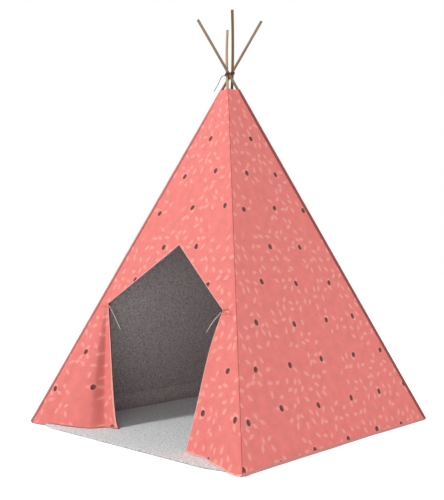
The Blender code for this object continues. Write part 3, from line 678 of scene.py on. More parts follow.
FINISHES = {  # with each material's name, its maker and its colours
    "canvas": ("printed_cotton_canvas", printed_canvas, "canvas stroke seed seed_light hem"),
    "lining": (
        "heathered_cotton_lining", heathered_lining, "lining lining_fleck red_yarn green_yarn"
    ),
    "hem": ("faded_cotton_hem", plain_canvas, "hem"),
    "sleeve": ("plain_cotton_canvas", plain_canvas, "sleeve"),
    "seam": ("sewn_cotton_canvas", seam_canvas, "seam thread"),
    "corner_seam": ("sewn_corner_canvas", seam_canvas, "corner_seam thread"),
    "binding": ("bound_cotton_canvas", seam_canvas, "binding thread"),
    "fleece": ("brushed_polyester_fleece", brushed_fleece, "fleece"),
    "pine": ("oiled_pine", oiled_pine, "pine pine_dark"),
    # Copies of the pine with painted light and painted shade.
    "pale_pine": ("pale_oiled_pine", oiled_pine, "pale_pine pine"),
    "old_pine": ("darkened_oiled_pine", oiled_pine, "old_pine old_pine_dark"),
    "rubber": ("moulded_rubber", moulded_rubber, "rubber"),
    "aluminium": ("drawn_aluminium", drawn_aluminium, "aluminium"),
    "lashing": ("brown_cotton_cord", twisted_cotton, "lashing"),
    # The lashing tail's cord is a lighter copy of the lashing's: painted highlight.
    "lashing_tail": ("grey_cotton_cord", twisted_cotton, "lashing_tail"),
    "tie": ("pale_cotton_cord", twisted_cotton, "tie"),
    # A darker copy of the tie's cord: painted shade.
    "tie_end_painted_shade": ("tan_cotton_cord", twisted_cotton, "tie_end_painted_shade"),
    "paper": ("matt_white_paper", white_paper, ""),
}
finishes_made = {}


def finish(name):
    """The material of that name, made when it is first asked for."""
    if name not in finishes_made:
        real_name, maker, colour_names = FINISHES[name]
        made = finishes_made[name] = bpy.data.materials.new(real_name)
        made.use_nodes = True
        tree = made.node_tree
        colours = bpy.context.scene.tent_colours
        looks = maker(tree, *(tuple(getattr(colours, one)) for one in colour_names.split()))
        set_inputs(tree, tree.nodes["Principled BSDF"], looks)
    return finishes_made[name]


def turned_about(point, pole):
    """A point of the first pole, moved round the tent to another pole."""
    return Matrix.Rotation(math.radians(90 * pole), 3, "Z") @ point


def pole_foot(pole):
    return turned_about(FIRST_FOOT, pole % 4)


def pole_crossing(pole):
    return turned_about(FIRST_CROSSING, pole % 4)


def pole_direction(pole):
    return (pole_crossing(pole) - pole_foot(pole)).normalized()


def on_pole(pole, height):
    """The point of a pole's axis at this height."""
    direction = pole_direction(pole)
    return pole_foot(pole) + direction * ((height - FIRST_FOOT.z) / direction.z)


def pole_matrix(pole):
    """Places a piece whose Z runs up the pole from the crossing, with X on the fold's axis."""
    up = pole_direction(pole)
    outward = pole_foot(pole) - pole_crossing(pole)
    outward.z = 0
    axis = Vector((0, 0, 1)).cross(outward.normalized())
    turned = Matrix((axis, up.cross(axis), up)).transposed().to_4x4()
    return Matrix.Translation(pole_crossing(pole)) @ turned


def side_reach(pole, along, outward):
    """How far along a face from a pole's axis the cloth's edge starts, on the sleeve."""
    direction = pole_direction(pole)
    across = along.dot(direction)
    out = outward.dot(direction)
    inner_face = PANEL_SET_OUT - sizes().cloth_thickness / 2
    radius = sleeve_radius + SEAM_GAP
    half = inner_face * out * across
    square = 1 - across**2
    gap = inner_face**2 * (1 - out**2) - radius**2
    return (half + math.sqrt(half**2 - square * gap)) / square


def face_edges(face, height):
    """A face's cloth at this height: its two edges, the direction out, and its width."""
    along = on_pole(face + 1, height) - on_pole(face, height)
    between_poles = along.length
    along.normalize()
    outward = Vector((along.y, -along.x, 0))
    left_reach = side_reach(face, along, outward)
    right_reach = side_reach(face + 1, -along, outward)
    start = on_pole(face, height) + outward * PANEL_SET_OUT + along * left_reach
    end = start + along * (between_poles - left_reach - right_reach)
    return start, end, outward, (end - start).length


def on_face(face, share, height):
    """A point of a face's cloth, by its share of the width from the left and its height."""
    start, end, outward, width = face_edges(face, height)
    sag = PANEL_SAG * 4 * share * (1 - share) * (width / base_side)
    return start.lerp(end, share) - outward * sag


def smooth_step(value):
    value = max(0.0, min(1.0, value))
    return value * value * (3 - 2 * value)


def add_piece(name, mesh, finish_names, replaced=None, body=None):
    """Adds a mesh as a piece, hides the imported part that it replaces, and puts it under the body that it
    moves with.
    """
    piece = bpy.data.objects.new(name, mesh)
    for finish_name in finish_names:
        mesh.materials.append(finish(finish_name))
    bpy.context.scene.collection.objects.link(piece)
    if replaced:
        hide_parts(replaced)
    if body:
        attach(piece, body)
    return piece


def grid_mesh(name, points, cuts, strip_of=None, thickness=None, normals=None):
    """A sheet of cloth over a grid of points: its face, its lining and its edges all round.

    strip_of gives the material's place for a row and column of the face, and the lining takes the
    second place. Its UV map holds the flat cut, in metres.
    """
    half = (thickness or sizes().cloth_thickness) / 2
    rows, columns = len(points), len(points[0])
    count = rows * columns
    flat = [point for line in points for point in line]
    leans = [lean for line in normals or grid_normals(points) for lean in line]
    places = [p + n * half for p, n in zip(flat, leans)]
    places += [p - n * half for p, n in zip(flat, leans)]
    faces, strips, shading = [], [], []
    for row in range(rows - 1):
        for column in range(columns - 1):
            a = row * columns + column
            quad = (a, a + 1, a + columns + 1, a + columns)
            faces += [quad, tuple(count + i for i in reversed(quad))]
            strips += [strip_of(row, column) if strip_of else 0, 1]
            shading += [leans[i] for i in quad] + [-leans[i] for i in reversed(quad)]
    sides = [
        list(range(columns)),
        [row * columns + columns - 1 for row in range(rows)],
        [count - 1 - step for step in range(columns)],
        [row * columns for row in reversed(range(rows))],
    ]
    for line in sides:
        for a, b in zip(line, line[1:]):
            faces.append((b, a, a + count, b + count))
            strips.append(0)
            out = (places[a] - places[b]).cross(places[a + count] - places[a]).normalized()
            shading += [out] * 4
    mesh = bpy.data.meshes.new(name)
    mesh.from_pydata(places, [], faces)
    mesh.polygons.foreach_set("material_index", strips)
    laid = [cut for line in cuts for cut in line]
    layer = mesh.uv_layers.new(name="cut")
    for loop in mesh.loops:
        layer.data[loop.index].uv = laid[loop.vertex_index % count]
    mesh.shade_smooth()
    mesh.normals_split_custom_set(shading)
    return mesh


def ring_mesh(name, rings, cut_width, closed_ends=True):
    """A smooth mesh over rings of points, each ring closed, with caps on its ends if asked."""
    count = len(rings[0])
    faces = []
    for low in range(0, (len(rings) - 1) * count, count):
        for step in range(count):
            after = (step + 1) % count
            faces.append((low + step, low + after, low + count + after, low + count + step))
    side_faces = len(faces)
    if closed_ends:
        faces.append(tuple(reversed(range(count))))
        faces.append(tuple((len(rings) - 1) * count + step for step in range(count)))
    mesh = bpy.data.meshes.new(name)
    mesh.from_pydata([point for ring in rings for point in ring], [], faces)
    layer = mesh.uv_layers.new(name="cut")
    heights = [0.0]
    for before, after in zip(rings, rings[1:]):
        heights.append(heights[-1] + (after[0] - before[0]).length)
    for face in mesh.polygons:
        for corner, loop in enumerate(face.loop_indices):
            row, step = divmod(mesh.loops[loop].vertex_index, count)
            if face.index < side_faces and corner in (1, 2) and step == 0:
                step = count
            layer.data[loop].uv = (cut_width * step / count, heights[row])
    mesh.shade_smooth()
    mesh.set_sharp_from_angle(angle=SHARP_ANGLE)
    return mesh


def turned_rings(pole, profile, sides, uneven=None, lean=None):
    """Rings round a pole over a profile of radii and levels, which start at the crossing.

    uneven adds to the radius by angle and level, and lean moves a level's ring along the axis
    that the pole folds about.
    """
    matrix = pole_matrix(pole)
    rings = []
    for radius, level in profile:
        aside = lean(level) if lean else 0.0
        ring = []
        for step in range(sides):
            angle = math.tau * step / sides
            reach = radius + (uneven(angle, level) if uneven else 0.0)
            place = (aside + reach * math.cos(angle), reach * math.sin(angle), level)
            ring.append(matrix @ Vector(place))
        rings.append(ring)
    return rings


def smooth_route(stops, spacing):
    """Points about this far apart on a smooth curve through the stops."""
    steps = 24
    ends = [2 * stops[0] - stops[1], *stops, 2 * stops[-1] - stops[-2]]
    fine = []
    for before, start, end, after in zip(ends, ends[1:], ends[2:], ends[3:]):
        for step in range(steps):
            t = step / steps
            fine.append(
                start
                + (end - before) * (t / 2)
                + (before * 2 - start * 5 + end * 4 - after) * (t * t / 2)
                + (start * 3 - before - end * 3 + after) * (t * t * t / 2)
            )
    fine.append(stops[-1])
    return even_points(fine, spacing)


def even_points(line, spacing):
    """The line again, with points evenly apart."""
    lengths = [0.0]
    for a, b in zip(line, line[1:]):
        lengths.append(lengths[-1] + (b - a).length)
    count = max(2, round(lengths[-1] / spacing))
    points = []
    index = 0
    for step in range(count + 1):
        wanted = lengths[-1] * step / count
        while index < len(line) - 2 and lengths[index + 1] < wanted:
            index += 1
        span = max(lengths[index + 1] - lengths[index], 1e-9)
        points.append(line[index].lerp(line[index + 1], (wanted - lengths[index]) / span))
    return points


def line_length(points):
    return sum((b - a).length for a, b in zip(points, points[1:]))


def twisted_rings(points, diameter, strands=3, lay=4.0, depth=0.10, sides=18):
    """Rings of a twisted cord along points: its strands bulge and wind once in lay diameters."""
    rings = []
    normal = None
    along = 0.0
    for index, point in enumerate(points):
        before = points[max(index - 1, 0)]
        after = points[min(index + 1, len(points) - 1)]
        direction = (after - before).normalized()
        if normal is None:
            normal = direction.orthogonal().normalized()
        normal = (normal - direction * normal.dot(direction)).normalized()
        side = direction.cross(normal)
        if index:
            along += (point - before).length
        turn = math.tau * along / (lay * diameter)
        ring = []
        for step in range(sides):
            angle = math.tau * step / sides
            bulge = abs(math.sin(strands * (angle - turn) / 2))
            radius = diameter / 2 * (1 - depth + depth * bulge)
            ring.append(point + (normal * math.cos(angle) + side * math.sin(angle)) * radius)
        rings.append(ring)
    return rings


def add_cord(name, points, diameter, finish_name, replaced=None, tip=True):
    """A twisted cord along points, with its far tip drawn in, and the points that it follows."""
    fine = even_points(points, diameter / 4)
    rings = twisted_rings(fine, diameter)
    if tip:
        for back, share in ((1, 0.45), (2, 0.8), (3, 0.95)):
            middle = fine[-back]
            rings[-back] = [middle + (p - middle) * share for p in rings[-back]]
    mesh = ring_mesh(name, rings, math.pi * diameter)
    return add_piece(name, mesh, [finish_name], replaced), fine


def follow_pole(piece, face, side, layered=False):
    """Blends a piece of a face from the still cover to its pole, over the cloth's half width.

    The share is taken at each point's own height, so that the edge stays on its pole all the way.
    The lining of a layered piece, its second half of points, leads its face a little, so that it
    stays inside when the tent folds.
    """

    def middle_and_edge(level):
        start, end, _, _ = face_edges(face, level)
        return (start + end) / 2, end if side > 0 else start

    middle, edge = middle_and_edge(HEM_LEVEL)
    pole = (face + 1) % 4 if side > 0 else face
    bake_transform(piece, COVER_BODY, POLE_BODIES[pole], start=tuple(middle), end=tuple(edge))
    vertices = piece.data.vertices
    first_inner = len(vertices) // 2 if layered else len(vertices)
    weights = []
    for vertex in vertices:
        middle, edge = middle_and_edge(max(vertex.co.z, 0.0))
        half = edge - middle
        share = (vertex.co - middle).dot(half) / half.length_squared
        lead = LINING_LEAD * smooth_step(share / 0.08) if vertex.index >= first_inner else 0.0
        weights.append(min(smooth_step(share / FOLLOW_SHARE) + lead, 1.0))
    piece.data.attributes["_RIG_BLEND"].data.foreach_set("value", weights)


def panel_wave(face, along, height, share):
    """How far a taut panel stands in or out: long soft waves that die out at its seams."""
    wave = sizes().panel_wave
    slow = noise.noise(Vector((along * 3.1, height * 1.5, 7.3 * face + 1.7)))
    quick = noise.noise(Vector((along * 9.0, height * 3.7, 3.1 * face + 9.2)))
    fade = smooth_step(share / 0.22) * smooth_step((1 - share) / 0.22)
    hem = math.exp(-height / 0.06) * noise.noise(Vector((along * 7.0, 0.3, 5.5 * face)))
    return fade * (wave * (slow + 0.35 * quick) + wave * 0.8 * hem)


def grid_normals(points):
    """The direction out of a grid at each of its points, from the points round it."""
    rows, columns = len(points), len(points[0])
    found = []
    for row in range(rows):
        above, below = points[min(row + 1, rows - 1)], points[max(row - 1, 0)]
        line = []
        for column in range(columns):
            right, left = min(column + 1, columns - 1), max(column - 1, 0)
            across = points[row][right] - points[row][left]
            line.append(across.cross(above[column] - below[column]).normalized())
        found.append(line)
    return found


def hem_levels(low, high, rows):
    """Heights of a panel's rows: close together over the hem's fold, then even."""
    hem = sizes().hem_height
    close = [0.0, 0.0012, 0.003, 0.010, hem - 0.004, hem - 0.0015, hem, hem + 0.0015, hem + 0.004]
    first = low + hem + 0.010
    even = [first + (high - first) * step / rows for step in range(rows + 1)]
    return [low + step for step in close] + even


def hem_relief(above_edge):
    """Outward step of a doubled hem, with the pull of its stitches just above the fold."""
    above_fold = above_edge - sizes().hem_height
    step = HEM_STEP * (1 - smooth_step((above_fold + 0.0015) / 0.002))
    return step - STITCH_PULL * math.exp(-(((above_fold + 0.003) / 0.0012) ** 2))


def seam_relief(distance, reach):
    """Outward step of the cloth at this distance from its seam: a low swell, then the dip."""
    part = distance * EDGE_REACH / reach
    swell = SEAM_SWELL * smooth_step((EDGE_REACH - part) / (EDGE_REACH - SEAM_CREST))
    return swell - SEAM_DIP * smooth_step((SEAM_CREST - part) / (SEAM_CREST * 0.8))


def edge_reach(width):
    """How far from its sleeve the cloth of a face starts to bend, which narrows with the face."""
    return min(EDGE_REACH, width / 4)


def round_sleeve(pole, face, level, radius):
    """A function from a turn to its point round a sleeve: 0 is along a face, a quarter is out."""
    direction = pole_direction(pole)
    start, end, outward, _ = face_edges(face, level)
    inward = (end - start).normalized() * (1 if pole == face else -1)
    flank = (inward - direction * inward.dot(direction)).normalized()
    crest = direction.cross(flank)
    if crest.dot(outward) < 0:
        crest = -crest
    axis = on_pole(pole, level)
    return lambda turn: axis + (flank * math.cos(turn) + crest * math.sin(turn)) * radius


def bent_onto_sleeve(pole, face, level, flat, tangent):
    """Points from a flat stretch of cloth, without a step, onto a sleeve and round its crest."""
    radius = sleeve_radius + SEAM_GAP + sizes().cloth_thickness / 2
    on_sleeve = round_sleeve(pole, face, level, radius)
    landing = on_sleeve(WRAP_LANDING)
    onward = (on_sleeve(WRAP_LANDING + 0.01) - landing).normalized()
    pull = (landing - flat).length * WRAP_PULL
    stops = (flat, flat + tangent * pull, landing - onward * pull, landing)
    found = []
    for step in range(WRAP_STEPS + 1):
        t = step / WRAP_STEPS
        found.append(
            stops[0] * (1 - t) ** 3
            + stops[1] * (3 * t * (1 - t) ** 2)
            + stops[2] * (3 * t * t * (1 - t))
            + stops[3] * t**3
        )
    turn_step = (WRAP_ENDS[face, -1 if pole == face else 1] - WRAP_LANDING) / WRAP_TURNS
    return found + [on_sleeve(WRAP_LANDING + turn_step * step) for step in range(1, WRAP_TURNS + 1)]


def edge_columns(face, level, side, wave):
    """A face's cloth at one side, from its flat part on: sewn into its seam, or over the sleeve.

    Gives points with their place along the cloth from the face's middle.
    """
    outward, width = face_edges(face, level)[2:]
    reach = edge_reach(width)

    def cloth(distance):
        at = side * (width / 2 - distance)
        return on_face(face, 0.5 + at / width, level) + outward * wave(at)

    if (face, side) not in WRAP_ENDS:
        found = []
        for distance in (reach * share for share in SEWN_SHARES):
            point = cloth(distance) + outward * seam_relief(distance, reach)
            found.append((point, side * (width / 2 - distance)))
        return found
    flat = cloth(reach)
    tangent = (flat - cloth(reach * 1.1)).normalized()
    points = bent_onto_sleeve(face + (side > 0), face, level, flat, tangent)
    at = width / 2 - reach
    found = [(flat, side * at)]
    for before, point in zip(points, points[1:]):
        at += (point - before).length
        found.append((point, side * at))
    return found


def panel_grid(face):
    """The points and cut of a plain panel, sewn to its sleeves or run over them, and its middle."""
    size = sizes()
    points, cuts = [], []
    for level in hem_levels(HEM_LEVEL, COVER_TOP_HEIGHT, size.panel_rows):
        outward, width = face_edges(face, level)[2:]
        relief = hem_relief(level - HEM_LEVEL) + hem_relief(COVER_TOP_HEIGHT - level)

        def wave(at):
            return panel_wave(face, at, level, 0.5 + at / width) + relief

        left = edge_columns(face, level, -1, wave)[::-1]
        right = edge_columns(face, level, 1, wave)
        flat_half = width / 2 - edge_reach(width)
        flat = [flat_half * step / size.panel_columns for step in range(1, size.panel_columns)]
        flat = [-at for at in reversed(flat)] + [0.0] + flat
        between = [(on_face(face, 0.5 + at / width, level) + outward * wave(at), at) for at in flat]
        line = left + between + right
        points.append([point for point, _ in line])
        cuts.append([(at, level * cut_slant) for _, at in line])
    return points, cuts, len(left) + size.panel_columns - 1


def half_panel(face, side, grid, strip_of):
    """One half of a panel's grid, from its middle to the pole at one side, and its points."""
    all_points, cuts, middle = grid
    columns = slice(middle, None) if side > 0 else slice(0, middle + 1)
    offset = middle if side > 0 else 0
    points, normals, laid = (
        [row[columns] for row in part] for part in (all_points, grid_normals(all_points), cuts)
    )
    name = f"{FACE_NAMES[face]}_{SIDE_WORDS[side]}_half"
    mesh = grid_mesh(
        name, points, laid, lambda row, column: strip_of(row, column + offset), normals=normals
    )
    # The lowest rows take the pale hem on the door, partly a painted highlight along its lit edge, and the
    # greyer sleeve canvas on the plain panels, painted shade along the hem's lower edge.
    lower_hem = "hem" if face == DOOR_FACE else "sleeve"
    finish_names = ["canvas", "lining", lower_hem]
    piece = add_piece(name, mesh, finish_names, FACE_NAMES[face])
    follow_pole(piece, face, side, layered=True)
    return piece, points


def build_skirt(face, side):
    """Half of a plain panel's lower edge on the inside, which is turned in and lies on the mat."""
    points, cuts = [], []
    along_cut = 0.0
    before = SKIRT_PROFILE[0]
    for row, (inward, level) in enumerate(SKIRT_PROFILE):
        outward, width = face_edges(face, level)[2:]
        reach = width / 2 - SKIRT_END - inward
        along_cut += math.hypot(inward - before[0], level - before[1])
        before = (inward, level)
        line, laid = [], []
        for step in range(SKIRT_COLUMNS + 1):
            at = side * reach * step / SKIRT_COLUMNS
            lift = SKIRT_LIFT * max(0.0, noise.noise(Vector((at * 9.0, row * 0.4, 2.2 + face))))
            place = on_face(face, 0.5 + at / width, level) - outward * inward
            line.append(place + Vector((0, 0, lift)))
            laid.append((at, along_cut))
        points.append(line[::side])
        cuts.append(laid[::side])
    name = f"{FACE_NAMES[face]}_{SIDE_WORDS[side]}_turned_edge"
    piece = add_piece(name, grid_mesh(name, points, cuts), ["lining", "lining"])
    follow_pole(piece, face, side, layered=True)
    return piece


def sheet_area(points):
    """Area of a grid of points."""
    total = 0.0
    for low, high in zip(points, points[1:]):
        for a, b, c, d in zip(low, low[1:], high[1:], high):
            total += ((c - a).cross(d - b)).length / 2
    return total


def column_length(points, column):
    """Length of a column of a grid of points."""
    return line_length([row[column] for row in points])


def gathered_share(pole):
    """Where the gathered edge lies at the tie, from the door's middle to its side."""
    edge, inward, _ = door_side(pole, TIE_HEIGHT)
    axis_reach = (on_pole(pole, TIE_HEIGHT) - edge).dot(inward)
    return 1 - 2 * (TIE_INSETS[pole] + axis_reach) / face_edges(DOOR_FACE, TIE_HEIGHT)[3]


def door_cut_height(middle_share, corner_share):
    """Lower edge of the door panel, at this share from the door's middle to its side."""
    level = TIE_HEIGHT + SEAM_GAP
    if middle_share >= corner_share:
        return level
    low_half = face_edges(DOOR_FACE, 0)[3] / 2
    half = face_edges(DOOR_FACE, level)[3] / 2
    narrowing = (low_half - half) / level
    slope = (DOOR_PEAK_HEIGHT - level) / (corner_share * half) * middle_share
    return (DOOR_PEAK_HEIGHT - slope * low_half) / (1 - slope * narrowing)


def door_grid():
    """The points and cut of the door panel, over the opening, and its middle."""
    columns = []
    for side, pole in ((-1, LEFT_POLE), (1, RIGHT_POLE)):
        corner = gathered_share(pole)
        parts = [step / DOOR_COLUMNS for step in range(DOOR_COLUMNS + 1)]
        parts += DOOR_SIDE_PARTS
        half_columns = [door_column(side, part, corner) for part in parts]
        half_columns += door_edge_columns(side, corner)
        if side < 0:
            columns = half_columns[::-1]
            middle = len(columns) - 1
        else:
            columns += half_columns[1:]
    rows = list(zip(*columns))
    points = [[point for point, _ in row] for row in rows]
    return points, [[cut for _, cut in row] for row in rows], middle


def door_levels(low):
    return hem_levels(low, COVER_TOP_HEIGHT, sizes().panel_rows * 3 // 4)


def door_wave(level, low, over_cut):
    """Outward step of the door's cloth at a level, as a function of its place from the middle."""
    width = face_edges(DOOR_FACE, level)[3]
    relief = hem_relief(COVER_TOP_HEIGHT - level) + (hem_relief(level - low) if over_cut else 0.0)
    return lambda at: panel_wave(DOOR_FACE, at, level, 0.5 + at / width) + relief


def door_column(side, part, corner):
    """A column of the door's flat cloth: 0 at its middle, 1 over the opening's corner, then on."""
    low = door_cut_height(min(part, 1) * corner, corner)
    column = []
    for level in door_levels(low):
        outward, width = face_edges(DOOR_FACE, level)[2:]
        flat_half = width / 2 - edge_reach(width)
        corner_at = min(corner * width / 2, flat_half * 0.97)
        at = side * (corner_at * min(part, 1) + (flat_half - corner_at) * max(part - 1, 0))
        out = door_wave(level, low, part <= 1)(at)
        place = on_face(DOOR_FACE, 0.5 + at / width, level) + outward * out
        column.append((place, (at, level * cut_slant)))
    return column


def door_edge_columns(side, corner):
    """The columns of the door's cloth at one sleeve."""
    low = door_cut_height(corner, corner)
    rows = []
    for level in door_levels(low):
        line = edge_columns(DOOR_FACE, level, side, door_wave(level, low, False))
        rows.append([(point, (at, level * cut_slant)) for point, at in line])
    return zip(*rows)


def rolled_hem(name, edge, inward):
    """The rolled edge of the cloth: a soft tube just behind it, in the pale hem canvas, whose paleness is
    partly a painted highlight along the lit edge.
    """
    diameter = sizes().hem_roll
    line = [point + inward * (diameter / 2 * 0.9) for point in even_points(edge, ROLL_SPACING)]
    rings = []
    for index, ring in enumerate(twisted_rings(line, diameter, depth=0.0, sides=10)):
        middle = line[index]
        wrinkle = 1 + 0.10 * noise.noise(Vector((index * 0.9, 3.3, len(edge))))
        rings.append([middle + (point - middle) * wrinkle for point in ring])
    return add_piece(name, ring_mesh(name, rings, math.pi * diameter), ["hem"])


def door_side(pole, height):
    """Edge of the door's cloth at one pole, with the directions to the opening and out."""
    start, end, outward, _ = face_edges(DOOR_FACE, height)
    inward = (end - start).normalized()
    return (start, inward, outward) if pole == LEFT_POLE else (end, -inward, outward)


def free_edge(pole, share):
    """A point of a flap's free edge, from the hem at 0 to the tie at 1."""
    _, inward, outward = door_side(pole, FLAP_HEM_LEVEL)
    hem = on_pole(pole, FLAP_HEM_LEVEL) + outward * PANEL_SET_OUT + inward * HEM_REACHES[pole]
    hem -= outward * HEM_DRIFTS[pole]
    _, tie_inward, tie_outward = door_side(pole, TIE_HEIGHT)
    tie = on_pole(pole, TIE_HEIGHT) + tie_outward * PANEL_SET_OUT + tie_inward * TIE_INSETS[pole]
    power = math.log(0.5) / math.log(BOW_PEAK_SHARES[pole])
    bow = EDGE_BOWS[pole] * math.sin(math.pi * max(share, 0.0) ** power)
    return hem.lerp(tie, share) + inward * bow


def hem_level(share):
    """Height of a flap's hem, which hangs beside the mat at its pole and then lies over it."""
    start, end = HEM_CLIMB_SHARES
    return HEM_LEVEL + (FLAP_HEM_LEVEL - HEM_LEVEL) * smooth_step((share - start) / (end - start))


def fold_depth(share, places, depths):
    """How far in the cloth hangs, at this share from the pole: a smooth curve of its folds."""
    last = len(places) - 1
    index = max(i for i in range(last) if share >= places[i])
    span = places[index + 1] - places[index]
    part = (share - places[index]) / span
    ends = []
    for stop in (index, index + 1):
        before, after = max(stop - 1, 0), min(stop + 1, last)
        slope = (depths[after] - depths[before]) / (places[after] - places[before])
        ends.append((depths[stop], slope * span))
    (low, low_slope), (high, high_slope) = ends
    rise = part * part * (3 - 2 * part)
    return (
        low * (1 - rise)
        + high * rise
        + low_slope * part * (1 - part) ** 2
        - high_slope * part * part * (1 - part)
    )


def flap_point(pole, share, rise):
    """A point of a tied-back flap, from the pole at 0 to the free edge at 1, and up from the hem.

    Gives the chord and the direction out as well.
    """
    low = hem_level(share)
    side, _, _ = door_side(pole, low + (TIE_HEIGHT - low) * rise)
    edge = free_edge(pole, rise)
    chord = Vector((edge.x - side.x, edge.y - side.y, 0))
    out = Vector((chord.y, -chord.x, 0)).normalized()
    if pole == RIGHT_POLE:
        out = -out
    fold = fold_depth(share, FOLD_PLACE_SHARES[pole], FOLD_DEPTHS[pole])
    fold *= 1 - rise ** FOLD_FADE_POWERS[pole]
    pleat = GATHER_DEPTH * rise**2 * math.sin(math.tau * GATHER_COUNT * share)
    return side + chord * share - out * (fold + pleat), chord, out


def flap_cloth(pole, share, rise):
    """A point of a flap with its small creases and the relief of its seam."""
    place, chord, out = flap_point(pole, share, rise)
    quick = noise.noise(Vector((share * 7.0, rise * 2.2, 4.1 + pole * 3.7)))
    fade = smooth_step(share / 0.15) * smooth_step((1 - rise) / 0.25)
    relief = sizes().flap_crease * quick * fade
    if pole == LEFT_POLE:
        reach = min(EDGE_REACH, chord.length * FLAP_BEND_SHARE)
        relief += seam_relief(share * chord.length, reach)
    return place + out * relief


def flap_row(pole, rise):
    """A row of a flap's cloth from its pole to its free edge, with its places in the cut."""
    _, chord, out = flap_point(pole, 0, rise)
    reach = min(EDGE_REACH, chord.length * FLAP_BEND_SHARE)
    first = reach / chord.length
    if pole == LEFT_POLE:
        row = [flap_cloth(pole, first * share, rise) for share in reversed(SEWN_SHARES)]
        laid = [reach * share for share in reversed(SEWN_SHARES)]
    else:
        flat = flap_cloth(pole, first, rise)
        tangent = (flat - flap_cloth(pole, first * 1.1, rise)).normalized()
        row = bent_onto_sleeve(pole, DOOR_FACE, flat.z, flat, tangent)[::-1]
        laid = [reach]
        for before, point in zip(row[::-1], row[-2::-1]):
            laid.insert(0, laid[0] - (point - before).length)
    for column in range(1, FLAP_COLUMNS + 1):
        share = first + (1 - first) * column / FLAP_COLUMNS
        row.append(flap_cloth(pole, share, rise))
        laid.append(chord.length * share)
    edge, along = row[-1], chord.normalized()
    curl = sizes().edge_turn
    radius = curl / 4
    full_turn = math.radians(CURL_DEGREES)
    for step in range(1, CURL_STEPS + 1):
        turn = full_turn * step / CURL_STEPS
        row.append(edge + along * (radius * math.sin(turn)) - out * (radius * (1 - math.cos(turn))))
        laid.append(laid[-1] + radius * math.radians(CURL_DEGREES / CURL_STEPS))
    back = -out * math.sin(full_turn) + along * math.cos(full_turn)
    for _ in range(TURNED_STEPS):
        row.append(row[-1] + back * (curl / 6))
        laid.append(laid[-1] + curl / 6)
    return row, laid


def build_flap(pole):
    """A flap drawn to its pole: fine cloth, hanging in folds, with its free edge turned in."""
    left = pole == LEFT_POLE
    points, cuts = [], []
    for rise in [0.0, 0.003, 0.006] + [step / FLAP_ROWS for step in range(1, FLAP_ROWS + 1)]:
        row, laid = flap_row(pole, rise)
        half = face_edges(DOOR_FACE, row[len(row) // 2].z)[3] / 2
        cut_row = [(at - half, place.z * cut_slant) for at, place in zip(laid, row)]
        if not left:
            row = row[::-1]
            cut_row = [(-x, y) for x, y in reversed(cut_row)]
        points.append(row)
        cuts.append(cut_row)
    last = len(points[0]) - 1
    edge_column = last - CURL_STEPS - TURNED_STEPS
    finish_names = ["canvas", "lining", "hem", "seam", "sleeve"]

    # The turned edge and the left flap's lowest row take the seam's colour, painted shade for the turned
    # edge's shaded inside and the shadow under the hem. The left flap's next rows take the sleeve's, painted
    # shade along the hem. The strip along the free edge takes the pale hem, a painted highlight on its lit
    # edge, and the right flap's lowest rows take the pale hem as well.
    def strip_of(row, column):
        step = column if left else last - 1 - column
        if step >= edge_column + 2 or (row < 1 and left):
            return finish_names.index("seam")
        if row < 3:
            return finish_names.index("sleeve" if left else "hem")
        return finish_names.index("hem" if step >= edge_column - 2 else "canvas")

    word = SIDE_WORDS[-1 if left else 1]
    name = f"door_flap_{word}_cloth"
    mesh = grid_mesh(name, points, cuts, strip_of)
    piece = add_piece(name, mesh, finish_names, f"door_flap_{word}")
    swing_with_flap(piece, pole)
    line_length(points[0])
    column_length(points, -1 if left else 0)
    sheet_area(points)


def swing_with_flap(piece, pole):
    """Blends a piece of a flap from its pole, at the tie, to the swinging flap below it."""
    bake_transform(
        piece,
        POLE_BODIES[pole],
        "left_flap" if pole == LEFT_POLE else "right_flap",
        start=(0, 0, TIE_HEIGHT - FLAP_SWING_START),
        end=(0, 0, TIE_HEIGHT - FLAP_SWING_END),
    )


def gathered_neck(pole):
    """The gathered cloth at the tie: its side at the sleeve, its length, and along and out."""
    height = TIE_HEIGHT - TIE_DROP
    rise = (height - FLAP_HEM_LEVEL) / (TIE_HEIGHT - FLAP_HEM_LEVEL)
    side, _, outward = door_side(pole, height)
    chord = free_edge(pole, rise) - side
    along = chord.normalized()
    out = Vector((along.y, -along.x, 0))
    return side, chord.length, along, out if out.dot(outward) > 0 else -out


def tie_room():
    """From the middle of the gathered cloth to the middle of the tie."""
    return sizes().cloth_thickness / 2 + GATHER_DEPTH + TIE_EASE + sizes().tie_diameter / 2


def tie_stops(pole):
    """Route of a tie: from the sleeve over the gathered cloth, round its edge and back."""
    side, length, along, out = gathered_neck(pole)
    from_axis = side - on_pole(pole, TIE_HEIGHT - TIE_DROP)
    middle = Vector((-from_axis.dot(along), -from_axis.dot(out)))
    edge = length + TIE_EASE
    room = tie_room()
    diameter = sizes().tie_diameter
    touching = sleeve_radius / pole_direction(pole).z + SEAM_GAP
    leaving = Vector((math.cos(TIE_LEAVING_ANGLE), math.sin(TIE_LEAVING_ANGLE)))
    last = Vector((middle.x + math.sqrt(touching**2 - (room + middle.y) ** 2), -room))
    flat = [
        middle + leaving * touching,
        middle + leaving * (touching + diameter),
        Vector((edge / 3, room)),
        Vector((edge * 2 / 3, room)),
        Vector((edge, room)),
        Vector((edge + room, 0)),
        Vector((edge, -room)),
        Vector((edge * 2 / 3, -room)),
        Vector((edge / 3, -room)),
        last + Vector((diameter, 0)),
        last,
    ]
    return [side + along * point.x + out * point.y for point in flat]


def knot_middle(pole):
    side, length, along, _ = gathered_neck(pole)
    return side + along * (length + TIE_EASE + tie_room())


